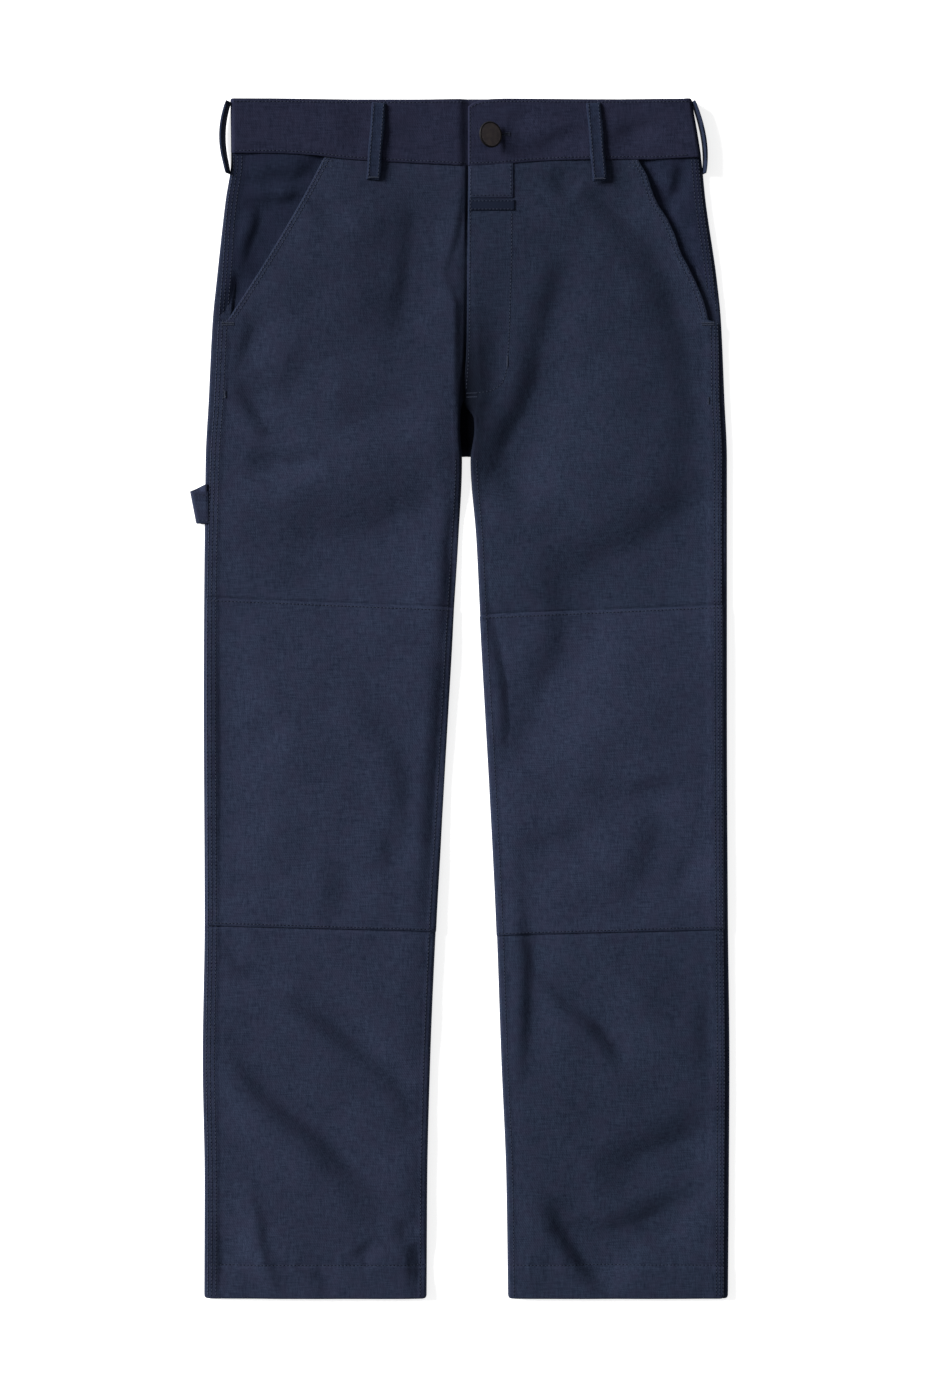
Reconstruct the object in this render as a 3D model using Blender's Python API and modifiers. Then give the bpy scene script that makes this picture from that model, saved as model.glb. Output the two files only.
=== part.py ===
"""Carpenter jeans laid flat on their back, front up, modelled as their separate cut and sewn pieces.

Metres, +Z up, with the floor at z = 0, the waist towards +Y and the hems towards -Y. The origin is on the
floor under the middle of the whole outline. Right and left are the wearer's, so the right leg is at -X.
Sizes below are in millimetres. A drop is a distance down the garment from the top of the waistband.
"""

import math
from bisect import bisect_right
from collections import namedtuple

import bmesh
import bpy

MM = 0.001

# Whole garment
LENGTH = 1056.0
CROTCH_DROP = 315.0
CENTRE_BACK_X = 5.5
SEAM_GAP = 0.3

# Thickness of each wall of cloth
BACK_WALL = 2.0
FRONT_WALL = 2.2
FACING_WALL = 1.8
BAND_WALL = 2.0
PATCH_WALL = 1.2
TRIM_WALL = 1.0
LOOP_WALL = 1.6

# Heights above the floor of the cloth's outer side
FRONT_TOP = 8.0
UNDERLAP_TOP = 5.3
BAND_TOP = 7.8
LEG_FOLD_TOP = 6.2
POCKET_FOLD_TOP = 5.6
INNER_FOLD_TOP = 6.9
INSEAM_HEIGHT = 3.3
LOWEST_FRONT_TOP = BACK_WALL + SEAM_GAP + FRONT_WALL + 0.2

# Folds along the sides of the legs
INNER_ROLL = 2.8
SEAM_STRAIGHT = 0.5
OUTSEAM_LAP = 1.0
EDGE_SLOPE_WIDTH = 36.0

# Waistband
BAND_SIDE_HEIGHT = 48.0
BAND_CENTRE_SAG = 10.5
BAND_SAG_POWER = 1.3
SAG_END = 112.0
WAIST_HALF_WIDTH = 206.0
OVERLAP_END_X = 7.0
OVERLAP_DIP = 5.0
OVERLAP_DIP_WIDTH = 90.0
UNDERLAP_END_X = 42.0

# Fly
FLY_UNDERLAP = 12.0
FLY_OPEN_DROP = 216.0
FLY_END_DROP = 240.0
FORK_DROP = 282.0
FLY_SLOPE_WIDTH = 26.0

# Slanted pockets
POCKET_END_DROP = 195.0
POCKET_TURN = 3.0
FACING_UNDERLAP = 9.0
POCKET_FADE = 26.0

# Button
BUTTON_DIAMETER = 21.0
BUTTON_THICKNESS = 2.6
BUTTON_RIM = 0.8
SHANK_DIAMETER = 7.0
SHANK_LENGTH = 2.4
BUTTON_TILT_DEG = 25.0
BUTTON_X = 26.6
BUTTON_DROP = 32.5

CLOTH_COLOUR = "#2c3246"
BAND_COLOUR = "#292c40"
TAPE_COLOUR = "#232a3e"
METAL_COLOUR = "#33302f"

Leg = namedtuple("Leg", "side inwards")
RIGHT = Leg("right", 1)
LEFT = Leg("left", -1)
LEGS = (RIGHT, LEFT)

Sides = namedtuple("Sides", "drop right left")
SIDE_OUTLINE = (
    Sides(0.0, -202.2, 203.9),
    Sides(54.0, -201.7, 212.7),
    Sides(89.0, -206.6, 216.3),
    Sides(160.0, -214.5, 226.4),
    Sides(195.0, -218.0, 229.9),
    Sides(265.0, -221.5, 233.0),
    Sides(318.0, -224.2, 235.2),
    Sides(529.0, -225.9, 235.2),
    Sides(723.0, -225.1, 236.1),
    Sides(846.0, -226.8, 237.4),
    Sides(952.0, -225.1, 236.9),
    Sides(1056.0, -225.4, 236.1),
)
INNER_OUTLINE = (
    Sides(282.0, 0.4, 12.2),
    Sides(291.0, 0.2, 12.6),
    Sides(318.0, 1.8, 9.2),
    Sides(388.0, -1.5, 14.3),
    Sides(459.0, -5.9, 17.8),
    Sides(617.0, -14.7, 26.6),
    Sides(723.0, -20.9, 31.9),
    Sides(846.0, -26.2, 36.3),
    Sides(952.0, -28.8, 40.7),
    Sides(1056.0, -29.4, 42.2),
)
Line = namedtuple("Line", "drop x")
FLY_EDGE = (Line(48.0, 7.3), Line(133.0, 6.6), Line(212.0, 5.5), Line(240.0, 4.0), Line(262.0, 3.0))

Pocket = namedtuple("Pocket", "top_x end_x bow")
POCKETS = {"right": Pocket(-117.7, -204.5, 3.3), "left": Pocket(156.9, 217.5, 4.4)}

Patch = namedtuple("Patch", "top_outer top_inner bottom_outer bottom_inner")
KNEE_PATCHES = {"right": Patch(439.5, 448.4, 727.8, 733.7), "left": Patch(445.7, 455.0, 731.2, 737.1)}

Loop = namedtuple("Loop", "top_x top_drop bottom_x bottom_drop width")
FRONT_LOOPS = {"right": Loop(-71.1, 4.2, -76.3, 72.0, 12.4), "left": Loop(117.3, 4.4, 123.0, 73.0, 12.8)}

Rectangle = namedtuple("Rectangle", "left right top bottom")
FLY_PATCH = Rectangle(8.6, 47.3, 59.6, 88.0)
FLY_TAPE = Rectangle(8.2, 48.2, 90.2, 99.0)

# The largest soft troughs in the cloth of the fronts
Crease = namedtuple("Crease", "x1 drop1 x2 drop2 half_width depth")
CREASES = {
    "right": (
        Crease(-197.0, 250.0, -174.0, 292.0, 12.0, 2.0),
        Crease(-181.0, 313.0, -121.0, 321.0, 12.0, 2.2),
        Crease(-196.0, 394.0, -84.0, 377.0, 30.0, 2.6),
        Crease(-84.0, 377.0, -24.0, 334.0, 26.0, 2.6),
        Crease(-56.0, 84.0, -60.0, 214.0, 24.0, 2.6),
        Crease(-98.0, 520.0, -50.0, 596.0, 20.0, 1.3),
        Crease(-204.0, 846.0, -160.0, 886.0, 15.0, 2.2),
        Crease(-160.0, 886.0, -72.0, 968.0, 17.0, 2.2),
        Crease(-184.0, 780.0, -82.0, 836.0, 14.0, 1.8),
        Crease(-82.0, 836.0, -47.0, 906.0, 14.0, 1.8),
        Crease(-184.0, 966.0, -155.0, 1040.0, 11.0, 1.4),
    ),
    "left": (
        Crease(92.0, 146.0, 72.0, 224.0, 17.0, 1.8),
        Crease(72.0, 224.0, 66.0, 264.0, 17.0, 3.0),
        Crease(66.0, 264.0, 28.0, 330.0, 17.0, 3.0),
        Crease(196.0, 232.0, 206.0, 300.0, 20.0, 1.8),
        Crease(212.0, 330.0, 160.0, 398.0, 28.0, 3.2),
        Crease(160.0, 398.0, 84.0, 418.0, 28.0, 3.2),
        Crease(88.0, 418.0, 93.0, 476.0, 18.0, 1.5),
        Crease(93.0, 476.0, 46.0, 585.0, 18.0, 1.5),
        Crease(160.0, 640.0, 142.0, 704.0, 18.0, 1.3),
        Crease(58.0, 742.0, 62.0, 860.0, 12.0, 2.0),
        Crease(74.0, 792.0, 138.0, 846.0, 14.0, 2.2),
        Crease(222.0, 914.0, 122.0, 950.0, 20.0, 3.2),
        Crease(212.0, 972.0, 100.0, 1008.0, 18.0, 3.2),
        Crease(84.0, 972.0, 134.0, 1056.0, 15.0, 2.8),
    ),
}

# Steps of the lofts, down and across, and the drops of the rows round the crotch
HIP_STEPS = 9
FORK_ROWS = (195.0, 198.0, 214.0, 228.0, 241.0, 255.0, 268.0, 282.0, 298.0, 314.6)
LEG_STEPS = 42
PLATEAU_COLUMNS = 14
SLOPE_COLUMNS = 3
OUTER_END_COLUMNS = 1
OUTER_END_WIDTH = 4.0
SLOPE_END_WIDTH = 2.0
INNER_END_COLUMNS = 4
OUTER_ARC_COLUMNS = 6
BACK_FLAT_COLUMNS = 3
FACING_COLUMNS = 6


def mix(start, end, share):
    """The value that lies at a share of the way from start to end."""
    return start + (end - start) * share


def ease(value):
    """A share from 0 to 1 that starts and stops smoothly, 0 below 0 and 1 above 1."""
    value = min(1.0, max(0.0, value))
    return value * value * (3.0 - 2.0 * value)


def smooth(rows, column, drop):
    """A table's column at a drop, on a curve through its rows that never swings past them."""
    drops = [row.drop for row in rows]
    values = [getattr(row, column) for row in rows]
    if drop <= drops[0]:
        return values[0]
    if drop >= drops[-1]:
        return values[-1]
    steps = [b - a for a, b in zip(drops, drops[1:])]
    slopes = [(b - a) / step for a, b, step in zip(values, values[1:], steps)]
    turns = [slopes[0]]
    for before, after in zip(slopes, slopes[1:]):
        turns.append(2.0 * before * after / (before + after) if before * after > 0 else 0.0)
    turns.append(slopes[-1])
    i = bisect_right(drops, drop) - 1
    t = (drop - drops[i]) / steps[i]
    start = values[i] * (2 * t**3 - 3 * t**2 + 1) + turns[i] * steps[i] * (t**3 - 2 * t**2 + t)
    end = values[i + 1] * (3 * t**2 - 2 * t**3) + turns[i + 1] * steps[i] * (t**3 - t**2)
    return start + end


def point(x, drop, z):
    """A place on the garment, from millimetres across, down and up to metres."""
    return (x * MM, (LENGTH / 2 - drop) * MM, z * MM)


def linear_from_hex(text):
    """An sRGB hex colour as the linear values that a shader takes."""
    channels = [int(text[i : i + 2], 16) / 255 for i in (1, 3, 5)]
    return [c / 12.92 if c <= 0.04045 else ((c + 0.055) / 1.055) ** 2.4 for c in channels] + [1.0]


def material(name, colour, roughness, metallic=0.0):
    """A plain finish, made once and shared by name."""
    made = bpy.data.materials.get(name)
    if made is None:
        made = bpy.data.materials.new(name)
        made.use_nodes = True
        shader = made.node_tree.nodes["Principled BSDF"]
        shader.inputs["Base Color"].default_value = linear_from_hex(colour)
        shader.inputs["Roughness"].default_value = roughness
        shader.inputs["Metallic"].default_value = metallic
    return made


def cloth_wall(collection, name, sections, wall, finish, flip=False):
    """A wall of cloth through sections of points: a grid on its outer side, thickened inwards."""
    grid = bmesh.new()
    columns = len(sections[0])
    bmesh.ops.create_grid(grid, x_segments=columns - 1, y_segments=len(sections) - 1, size=1.0)
    grid.verts.ensure_lookup_table()
    for index, vertex in enumerate(grid.verts):
        row, column = divmod(index, columns)
        vertex.co = sections[row][column]
    if flip:
        bmesh.ops.reverse_faces(grid, faces=grid.faces)
    mesh = bpy.data.meshes.new(name)
    grid.to_mesh(mesh)
    grid.free()
    mesh.materials.append(finish)
    mesh.shade_smooth()
    wall_object = bpy.data.objects.new(name, mesh)
    collection.objects.link(wall_object)
    thicken = wall_object.modifiers.new("Cloth thickness", "SOLIDIFY")
    thicken.thickness = wall * MM
    thicken.offset = -1.0
    thicken.use_even_offset = True
    return wall_object


def outer_x(leg, drop):
    """Where the leg's outer side lies, seen from above."""
    return smooth(SIDE_OUTLINE, leg.side, drop)


def inner_x(leg, drop):
    """Where the leg's inner side lies, seen from above."""
    return smooth(INNER_OUTLINE, leg.side, drop)


def waist_seam(x):
    """The drop of the seam under the waistband, which sags towards the fly."""
    share = min(1.0, abs(x - OVERLAP_END_X) / WAIST_HALF_WIDTH)
    return BAND_SIDE_HEIGHT + BAND_CENTRE_SAG * (1.0 - share**BAND_SAG_POWER)


def sagged(x, drop):
    """A row's drop at x, following the waistband seam near it and level further down."""
    near = max(0.0, (SAG_END - drop) / (SAG_END - BAND_SIDE_HEIGHT - SEAM_GAP / 2))
    return drop + near * (waist_seam(x) - BAND_SIDE_HEIGHT)


def pocket_mouth_x(leg, drop):
    """The slanted edge of the front at its pocket."""
    pocket = POCKETS[leg.side]
    share = (drop - BAND_SIDE_HEIGHT) / (POCKET_END_DROP - BAND_SIDE_HEIGHT)
    return mix(pocket.top_x, pocket.end_x, share) + pocket.bow * math.sin(math.pi * share)


def outer_fold_top(drop):
    """The height of the fold along the outer side: lower beside the pocket, where the front lies on top."""
    return mix(POCKET_FOLD_TOP, LEG_FOLD_TOP, ease((drop - POCKET_END_DROP) / POCKET_FADE))


def outseam_x(leg, drop):
    """The seam between back and front, just over the top of the outer fold."""
    return outer_x(leg, drop) + leg.inwards * (outer_fold_top(drop) / 2 + OUTSEAM_LAP)


def inseam_lift(drop):
    """How far the back has turned up at the inseam, from 0 at the crotch to 1 above the knee."""
    return ease((drop - CROTCH_DROP - 25.0) / 110.0)


def front_rest(drop):
    """The height at which the front's inner end stands just clear of the back."""
    lift = inseam_lift(drop)
    lean = (1.0 - lift) / math.hypot(lift, 1.0 - lift)
    return lift * INSEAM_HEIGHT + BACK_WALL * lean + SEAM_GAP + 0.15


def crease_depth(leg, x, drop):
    """How far the leg's troughs sink the cloth at a place."""
    depth = 0.0
    for crease in CREASES[leg.side]:
        run_x, run_drop = crease.x2 - crease.x1, crease.drop2 - crease.drop1
        share = ((x - crease.x1) * run_x + (drop - crease.drop1) * run_drop) / (run_x**2 + run_drop**2)
        share = min(1.0, max(0.0, share))
        away = math.hypot(x - crease.x1 - share * run_x, drop - crease.drop1 - share * run_drop)
        depth = max(depth, crease.depth * math.exp(-((away / crease.half_width) ** 2)))
    return depth


def front_end_x(leg, drop):
    """The front's inner end: the fly's edge or underlap above, and the inner fold of the leg below."""
    fly = smooth(FLY_EDGE, "x", drop)
    if leg is RIGHT:
        fly += mix(FLY_UNDERLAP, -2.2, ease((drop - FLY_OPEN_DROP + 26.0) / 46.0))
    fold = ease((drop - FLY_END_DROP) / (FORK_DROP - FLY_END_DROP))
    return mix(fly, inner_x(leg, drop), fold)


def slope_foot(leg, drop):
    """Where the front's slope down to its inner end is lowest: just short of the fly's edge or the fold."""
    below_fly = ease((drop - FLY_END_DROP) / (FORK_DROP - FLY_END_DROP))
    fly = smooth(FLY_EDGE, "x", drop) - (2.0 if leg is RIGHT else 0.0)
    return mix(fly, inner_x(leg, drop), below_fly)


def front_height(leg, x, drop):
    """The height of the front's outer side, away from the rolled ends of its sections."""
    in_leg = ease((drop - POCKET_END_DROP) / POCKET_FADE)
    from_outer = max(0.0, (x - outseam_x(leg, drop)) * leg.inwards)
    outer_slope = max(0.0, 1.0 - from_outer / EDGE_SLOPE_WIDTH) ** 2
    height = FRONT_TOP - in_leg * outer_slope * (FRONT_TOP - outer_fold_top(drop))
    below_fly = ease((drop - FLY_END_DROP) / (FORK_DROP - FLY_END_DROP))
    fly_level = UNDERLAP_TOP if leg is RIGHT else FRONT_TOP
    end_level = mix(fly_level, INNER_FOLD_TOP, below_fly)
    from_inner = max(0.0, (slope_foot(leg, drop) - x) * leg.inwards)
    inner_slope = max(0.0, 1.0 - from_inner / FLY_SLOPE_WIDTH) ** 2
    height -= inner_slope * (FRONT_TOP - end_level)
    calm = min(1.0 - in_leg * outer_slope, 1.0 - inner_slope)
    return max(LOWEST_FRONT_TOP, height - calm * crease_depth(leg, x, drop))


def front_section(leg, drop):
    """Points of a front from its outseam or pocket edge to its inner end, on the outer side."""
    in_pocket = drop <= POCKET_END_DROP
    start = pocket_mouth_x(leg, drop) if in_pocket else outseam_x(leg, drop) + leg.inwards * SEAM_GAP
    end = front_end_x(leg, drop)
    roll = ease((drop - FLY_END_DROP) / (FORK_DROP - FLY_END_DROP))
    first = start + leg.inwards * OUTER_END_WIDTH
    last = end - leg.inwards * (INNER_ROLL + SEAM_STRAIGHT)
    slope_end = last - leg.inwards * SLOPE_END_WIDTH
    if leg is RIGHT:
        slope_end = min(slope_end, slope_foot(leg, drop))
    slope_start = slope_end - leg.inwards * FLY_SLOPE_WIDTH
    places = [mix(start, first, column / OUTER_END_COLUMNS) for column in range(OUTER_END_COLUMNS)]
    places += [mix(first, slope_start, column / PLATEAU_COLUMNS) for column in range(PLATEAU_COLUMNS)]
    places += [mix(slope_start, slope_end, column / SLOPE_COLUMNS) for column in range(SLOPE_COLUMNS)]
    places.append(slope_end)
    points = [point(x, sagged(x, drop), front_height(leg, x, sagged(x, drop))) for x in places]
    rest, level = front_rest(drop), front_height(leg, last, drop)
    for column in range(INNER_END_COLUMNS + 1):
        share = column / INNER_END_COLUMNS
        flat_x = mix(last, end, share)
        turn = math.pi / 2 * min(1.0, column / (INNER_END_COLUMNS - 1))
        fold_x = end - leg.inwards * INNER_ROLL * (1.0 - math.sin(turn))
        fold_z = rest if share == 1.0 else mix(rest + SEAM_STRAIGHT, level, math.cos(turn))
        x = mix(flat_x, fold_x, roll)
        down = sagged(x, drop)
        points.append(point(x, down, mix(front_height(leg, flat_x, down), fold_z, roll)))
    return points


def back_section(leg, drop):
    """Points of a back from its centre or inseam, over the floor and up round the outer fold."""
    lift = inseam_lift(drop)
    in_leg = drop > CROTCH_DROP
    end = inner_x(leg, drop) if in_leg else CENTRE_BACK_X - leg.inwards * SEAM_GAP / 2
    radius = outer_fold_top(drop) / 2
    outer = outer_x(leg, drop)
    places = [(end, lift * INSEAM_HEIGHT)]
    for column in range(INNER_END_COLUMNS):
        share = column / (INNER_END_COLUMNS - 1)
        turn = math.pi / 2 * (1.0 - share)
        flat_x = end - leg.inwards * mix(SEAM_STRAIGHT, INNER_ROLL, share)
        fold_x = end - leg.inwards * INNER_ROLL * (1.0 - math.sin(turn))
        fold_z = (INSEAM_HEIGHT - SEAM_STRAIGHT) * (1.0 - math.cos(turn))
        places.append((mix(flat_x, fold_x, lift), lift * fold_z))
    flat_start, arc_start = end - leg.inwards * INNER_ROLL, outer + leg.inwards * radius
    for column in range(1, BACK_FLAT_COLUMNS):
        places.append((mix(flat_start, arc_start, column / BACK_FLAT_COLUMNS), 0.0))
    for column in range(OUTER_ARC_COLUMNS + 1):
        turn = math.pi * column / OUTER_ARC_COLUMNS
        x = outer + leg.inwards * radius * (1.0 - math.sin(turn))
        places.append((x, radius * (1.0 - math.cos(turn))))
    places.append((outseam_x(leg, drop), 2 * radius))
    return [point(x, sagged(x, drop), z) for x, z in places]


def hip_rows(last=POCKET_END_DROP - 0.6):
    """Drops from just under the waistband to the end of the pockets."""
    return [mix(BAND_SIDE_HEIGHT + SEAM_GAP / 2, last, row / HIP_STEPS) for row in range(HIP_STEPS + 1)]


def leg_rows(count):
    """Evenly spaced drops from just under the crotch to the hem."""
    first = CROTCH_DROP + 0.6
    return [mix(first, LENGTH, row / count) for row in range(count + 1)]


def make_front(collection, leg, finish):
    """A front leg, from the waistband seam to the hem, cut away at its pocket."""
    drops = [*hip_rows()[:-1], *FORK_ROWS, *leg_rows(LEG_STEPS)]
    sections = [front_section(leg, drop) for drop in reversed(drops)]
    cloth_wall(collection, f"front_{leg.side}", sections, FRONT_WALL, finish, flip=leg is LEFT)


def make_back(collection, leg, finish):
    """A back leg, flat on the floor, with its outer side turned up and over to the outseam."""
    drops = [*hip_rows()[:-1], 195.0, 198.0, 228.0, 255.0, 282.0, 298.0]
    drops += [CROTCH_DROP - 0.5, *leg_rows(LEG_STEPS // 2)]
    sections = [back_section(leg, drop) for drop in reversed(drops)]
    cloth_wall(collection, f"back_{leg.side}", sections, BACK_WALL, finish, flip=leg is LEFT)


def make_pocket_facing(collection, leg, finish):
    """The side panel seen in the pocket's mouth, from the outseam to under the front's slanted edge."""
    sections = []
    for drop in reversed(hip_rows()):
        start = outseam_x(leg, drop) + leg.inwards * SEAM_GAP
        end = pocket_mouth_x(leg, drop) + leg.inwards * FACING_UNDERLAP
        section = []
        for column in range(FACING_COLUMNS + 1):
            share = column / FACING_COLUMNS
            x = mix(start, end, share)
            section.append(point(x, sagged(x, drop), POCKET_FOLD_TOP - 0.2 * ease(2.0 * share)))
        sections.append(section)
    cloth_wall(collection, f"pocket_facing_{leg.side}", sections, FACING_WALL, finish, flip=leg is LEFT)


def front_surface(leg, across, drop, out):
    """A place on a front's outer side, at a share of the way across and moved out by a distance."""
    start = outseam_x(leg, drop) + leg.inwards * 1.2
    end = inner_x(leg, drop)
    x = mix(start, end - leg.inwards * INNER_ROLL, across)
    step = 1.0
    slope_x = (front_height(leg, x + step, drop) - front_height(leg, x - step, drop)) / (2 * step)
    slope_y = (front_height(leg, x, drop - step) - front_height(leg, x, drop + step)) / (2 * step)
    steep = math.sqrt(1.0 + slope_x**2 + slope_y**2)
    z = front_height(leg, x, drop) + out / steep
    return point(x - out * slope_x / steep, drop + out * slope_y / steep, z)


def make_knee_patch(collection, leg, finish):
    """The second layer over the knee, from outseam to inseam, lying on the front."""
    patch = KNEE_PATCHES[leg.side]
    across, down = 12, 14
    out = SEAM_GAP + PATCH_WALL + 0.25
    sections = []
    for row in range(down, -1, -1):
        section = []
        for column in range(across + 1):
            top = mix(patch.top_outer, patch.top_inner, column / across)
            bottom = mix(patch.bottom_outer, patch.bottom_inner, column / across)
            section.append(front_surface(leg, column / across, mix(top, bottom, row / down), out))
        sections.append(section)
    cloth_wall(collection, f"knee_patch_{leg.side}", sections, PATCH_WALL, finish, flip=leg is LEFT)


def band_height(x, on_top):
    """The height of the waistband's outer side: its under end sinks to pass below its over end."""
    if on_top:
        return BAND_TOP
    sink = ease((x - OVERLAP_END_X + FLY_SLOPE_WIDTH + 3.0) / FLY_SLOPE_WIDTH)
    return mix(BAND_TOP, UNDERLAP_TOP, sink)


def band_top_drop(x, on_top):
    """The drop of the waistband's upper edge, which is lower at the end that laps over."""
    if not on_top:
        return 0.0
    return OVERLAP_DIP * (1.0 - ease((x - OVERLAP_END_X) / OVERLAP_DIP_WIDTH))


def band_column(x, z, share, side, on_top):
    """A point of the waistband: a share of the way down it, with side giving how far it follows the outline."""
    leg = RIGHT if side < 0 else LEFT
    foot = x + (outer_x(leg, BAND_SIDE_HEIGHT) - outer_x(leg, 0.0)) * abs(side)
    drop = mix(band_top_drop(x, on_top), waist_seam(foot) - SEAM_GAP / 2, share)
    return point(x + (outer_x(leg, drop) - outer_x(leg, 0.0)) * abs(side), drop, z)


def band_section(share):
    """The waistband's closed path at a share of its height: over end, left side, back, right side, under end."""
    radius = BAND_TOP / 2
    left, right = outer_x(LEFT, 0.0), outer_x(RIGHT, 0.0)
    half = WAIST_HALF_WIDTH
    points = []
    for column in range(11):
        x = mix(OVERLAP_END_X, left - radius, column / 11)
        points.append(band_column(x, band_height(x, True), share, max(0.0, x / half) ** 2, True))
    for column in range(7):
        turn = math.pi * column / 6
        points.append(band_column(left - radius + radius * math.sin(turn), radius * (1.0 + math.cos(turn)), share, 1.0, False))
    for column in range(1, 6):
        x = mix(left - radius, right + radius, column / 6)
        points.append(band_column(x, 0.0, share, math.copysign(min(1.0, abs(x) / half) ** 2, x), False))
    for column in range(7):
        turn = math.pi * column / 6
        points.append(band_column(right + radius - radius * math.sin(turn), radius * (1.0 - math.cos(turn)), share, -1.0, False))
    for column in range(1, 15):
        x = mix(right + radius, UNDERLAP_END_X, column / 14)
        points.append(band_column(x, band_height(x, False), share, -(max(0.0, -x / half) ** 2), False))
    return points


def make_waistband(collection, finish):
    """One long band round the waist, its left end lapping over its right end at the fly."""
    sections = [band_section(share) for share in (1.0, 0.66, 0.33, 0.0)]
    cloth_wall(collection, "waistband", sections, BAND_WALL, finish)


def make_front_loop(collection, leg, finish):
    """A belt loop on the front: a strip tacked above and below the waistband, a little proud between."""
    loop = FRONT_LOOPS[leg.side]
    rows, lie = 10, max(BAND_TOP, FRONT_TOP)
    sections = []
    for row in range(rows, -1, -1):
        share = row / rows
        x, drop = mix(loop.top_x, loop.bottom_x, share), mix(loop.top_drop, loop.bottom_drop, share)
        z = lie + SEAM_GAP + LOOP_WALL + 1.3 * math.sin(math.pi * share)
        section = [point(x + loop.width * (column / 2 - 0.5), drop, z) for column in range(3)]
        sections.append(section)
    cloth_wall(collection, f"belt_loop_front_{leg.side}", sections, LOOP_WALL, finish)


def make_side_loop(collection, leg, finish):
    """A belt loop on the side, standing off the waistband, its upper edge leaning away from it."""
    rows, low, high, lean, bow = 12, 0.4, 9.4, 3.2, 3.6
    outwards = -leg.inwards
    top_drop, bottom_drop = 2.0, 66.0
    sections = []
    for row in range(rows, -1, -1):
        share = row / rows
        drop = mix(top_drop, bottom_drop, share)
        stand = SEAM_GAP + 0.15 + LOOP_WALL + bow * math.sin(math.pi * share) ** 0.8
        x = outer_x(leg, drop) + outwards * stand
        lean_here = lean * (0.35 + 0.65 * math.sin(math.pi * share))
        section = []
        for column in range(4):
            rise = column / 3
            section.append(point(x + outwards * lean_here * rise**1.5, drop, mix(low, high, rise)))
        sections.append(section)
    cloth_wall(collection, f"belt_loop_side_{leg.side}", sections, LOOP_WALL, finish, flip=leg is LEFT)


def make_hammer_loop(collection, finish):
    """The tool strap on the right outseam: out from the seam, round a soft fold and back to the leg."""
    top_drop, bottom_drop, rise = 348.0, 374.0, 6.0
    low, high = LOOP_WALL, LEG_FOLD_TOP + SEAM_GAP + LOOP_WALL
    radius = (high - 0.0) / 2
    sections = []
    for row in range(5):
        share = row / 4
        tip = mix(-232.4, -237.4, share)
        seam = outer_x(RIGHT, bottom_drop)
        section = []
        path = [(seam + 0.6 + LOOP_WALL - 2.5, 0.0, 1.0)]
        for column in range(9):
            turn = math.pi * column / 8
            path.append((tip + radius - radius * math.sin(turn), radius * (1.0 - math.cos(turn)), 1.0 - column / 8))
        path.append((seam + 2.6, high, 0.0))
        for x, z, behind in path:
            drop = mix(bottom_drop, top_drop, share) - rise * behind * share
            section.append(point(x, drop, z))
        sections.append(section)
    cloth_wall(collection, "hammer_loop", sections, LOOP_WALL, finish)


def make_flat_trim(collection, name, area, out, wall, finish):
    """A small piece that lies on the left front beside the fly."""
    across, down = 6, 3
    sections = []
    for row in range(down, -1, -1):
        drop = mix(area.top, area.bottom, row / down)
        section = []
        for column in range(across + 1):
            x = mix(area.left, area.right, column / across)
            section.append(point(x, drop, front_height(LEFT, x, drop) + out + wall))
        sections.append(section)
    cloth_wall(collection, name, sections, wall, finish)


def make_button(collection, finish):
    """The waist button: a turned cap with a raised rim on a short shank, tipped with its photo-left edge up."""
    cap, shank, top = BUTTON_DIAMETER / 2, SHANK_DIAMETER / 2, SHANK_LENGTH + BUTTON_THICKNESS
    profile = (
        (0.0, top - 0.5),
        (cap - 2.2, top - 0.5),
        (cap - 1.6, top),
        (cap - BUTTON_RIM, top),
        (cap, top - BUTTON_RIM),
        (cap, SHANK_LENGTH + BUTTON_RIM),
        (cap - BUTTON_RIM, SHANK_LENGTH),
        (shank, SHANK_LENGTH),
        (shank, 0.0),
        (0.0, 0.0),
    )
    mesh = bpy.data.meshes.new("waist_button")
    turned = bmesh.new()
    corners = [turned.verts.new((radius * MM, 0.0, height * MM)) for radius, height in profile]
    for first, second in zip(corners, corners[1:]):
        turned.edges.new((first, second))
    turned.to_mesh(mesh)
    turned.free()
    mesh.materials.append(finish)
    button = bpy.data.objects.new("waist_button", mesh)
    collection.objects.link(button)
    spin = button.modifiers.new("Turn", "SCREW")
    spin.steps = spin.render_steps = 28
    spin.use_merge_vertices = True
    spin.merge_threshold = 0.00005
    tilt = math.radians(BUTTON_TILT_DEG)
    lowest_edge = (cap - BUTTON_RIM) * math.sin(tilt) - SHANK_LENGTH * math.cos(tilt)
    seat = BAND_TOP + SEAM_GAP + max(lowest_edge, shank * math.sin(tilt))
    button.location = point(BUTTON_X, BUTTON_DROP, seat)
    button.rotation_euler = (0.0, tilt, 0.0)


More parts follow.
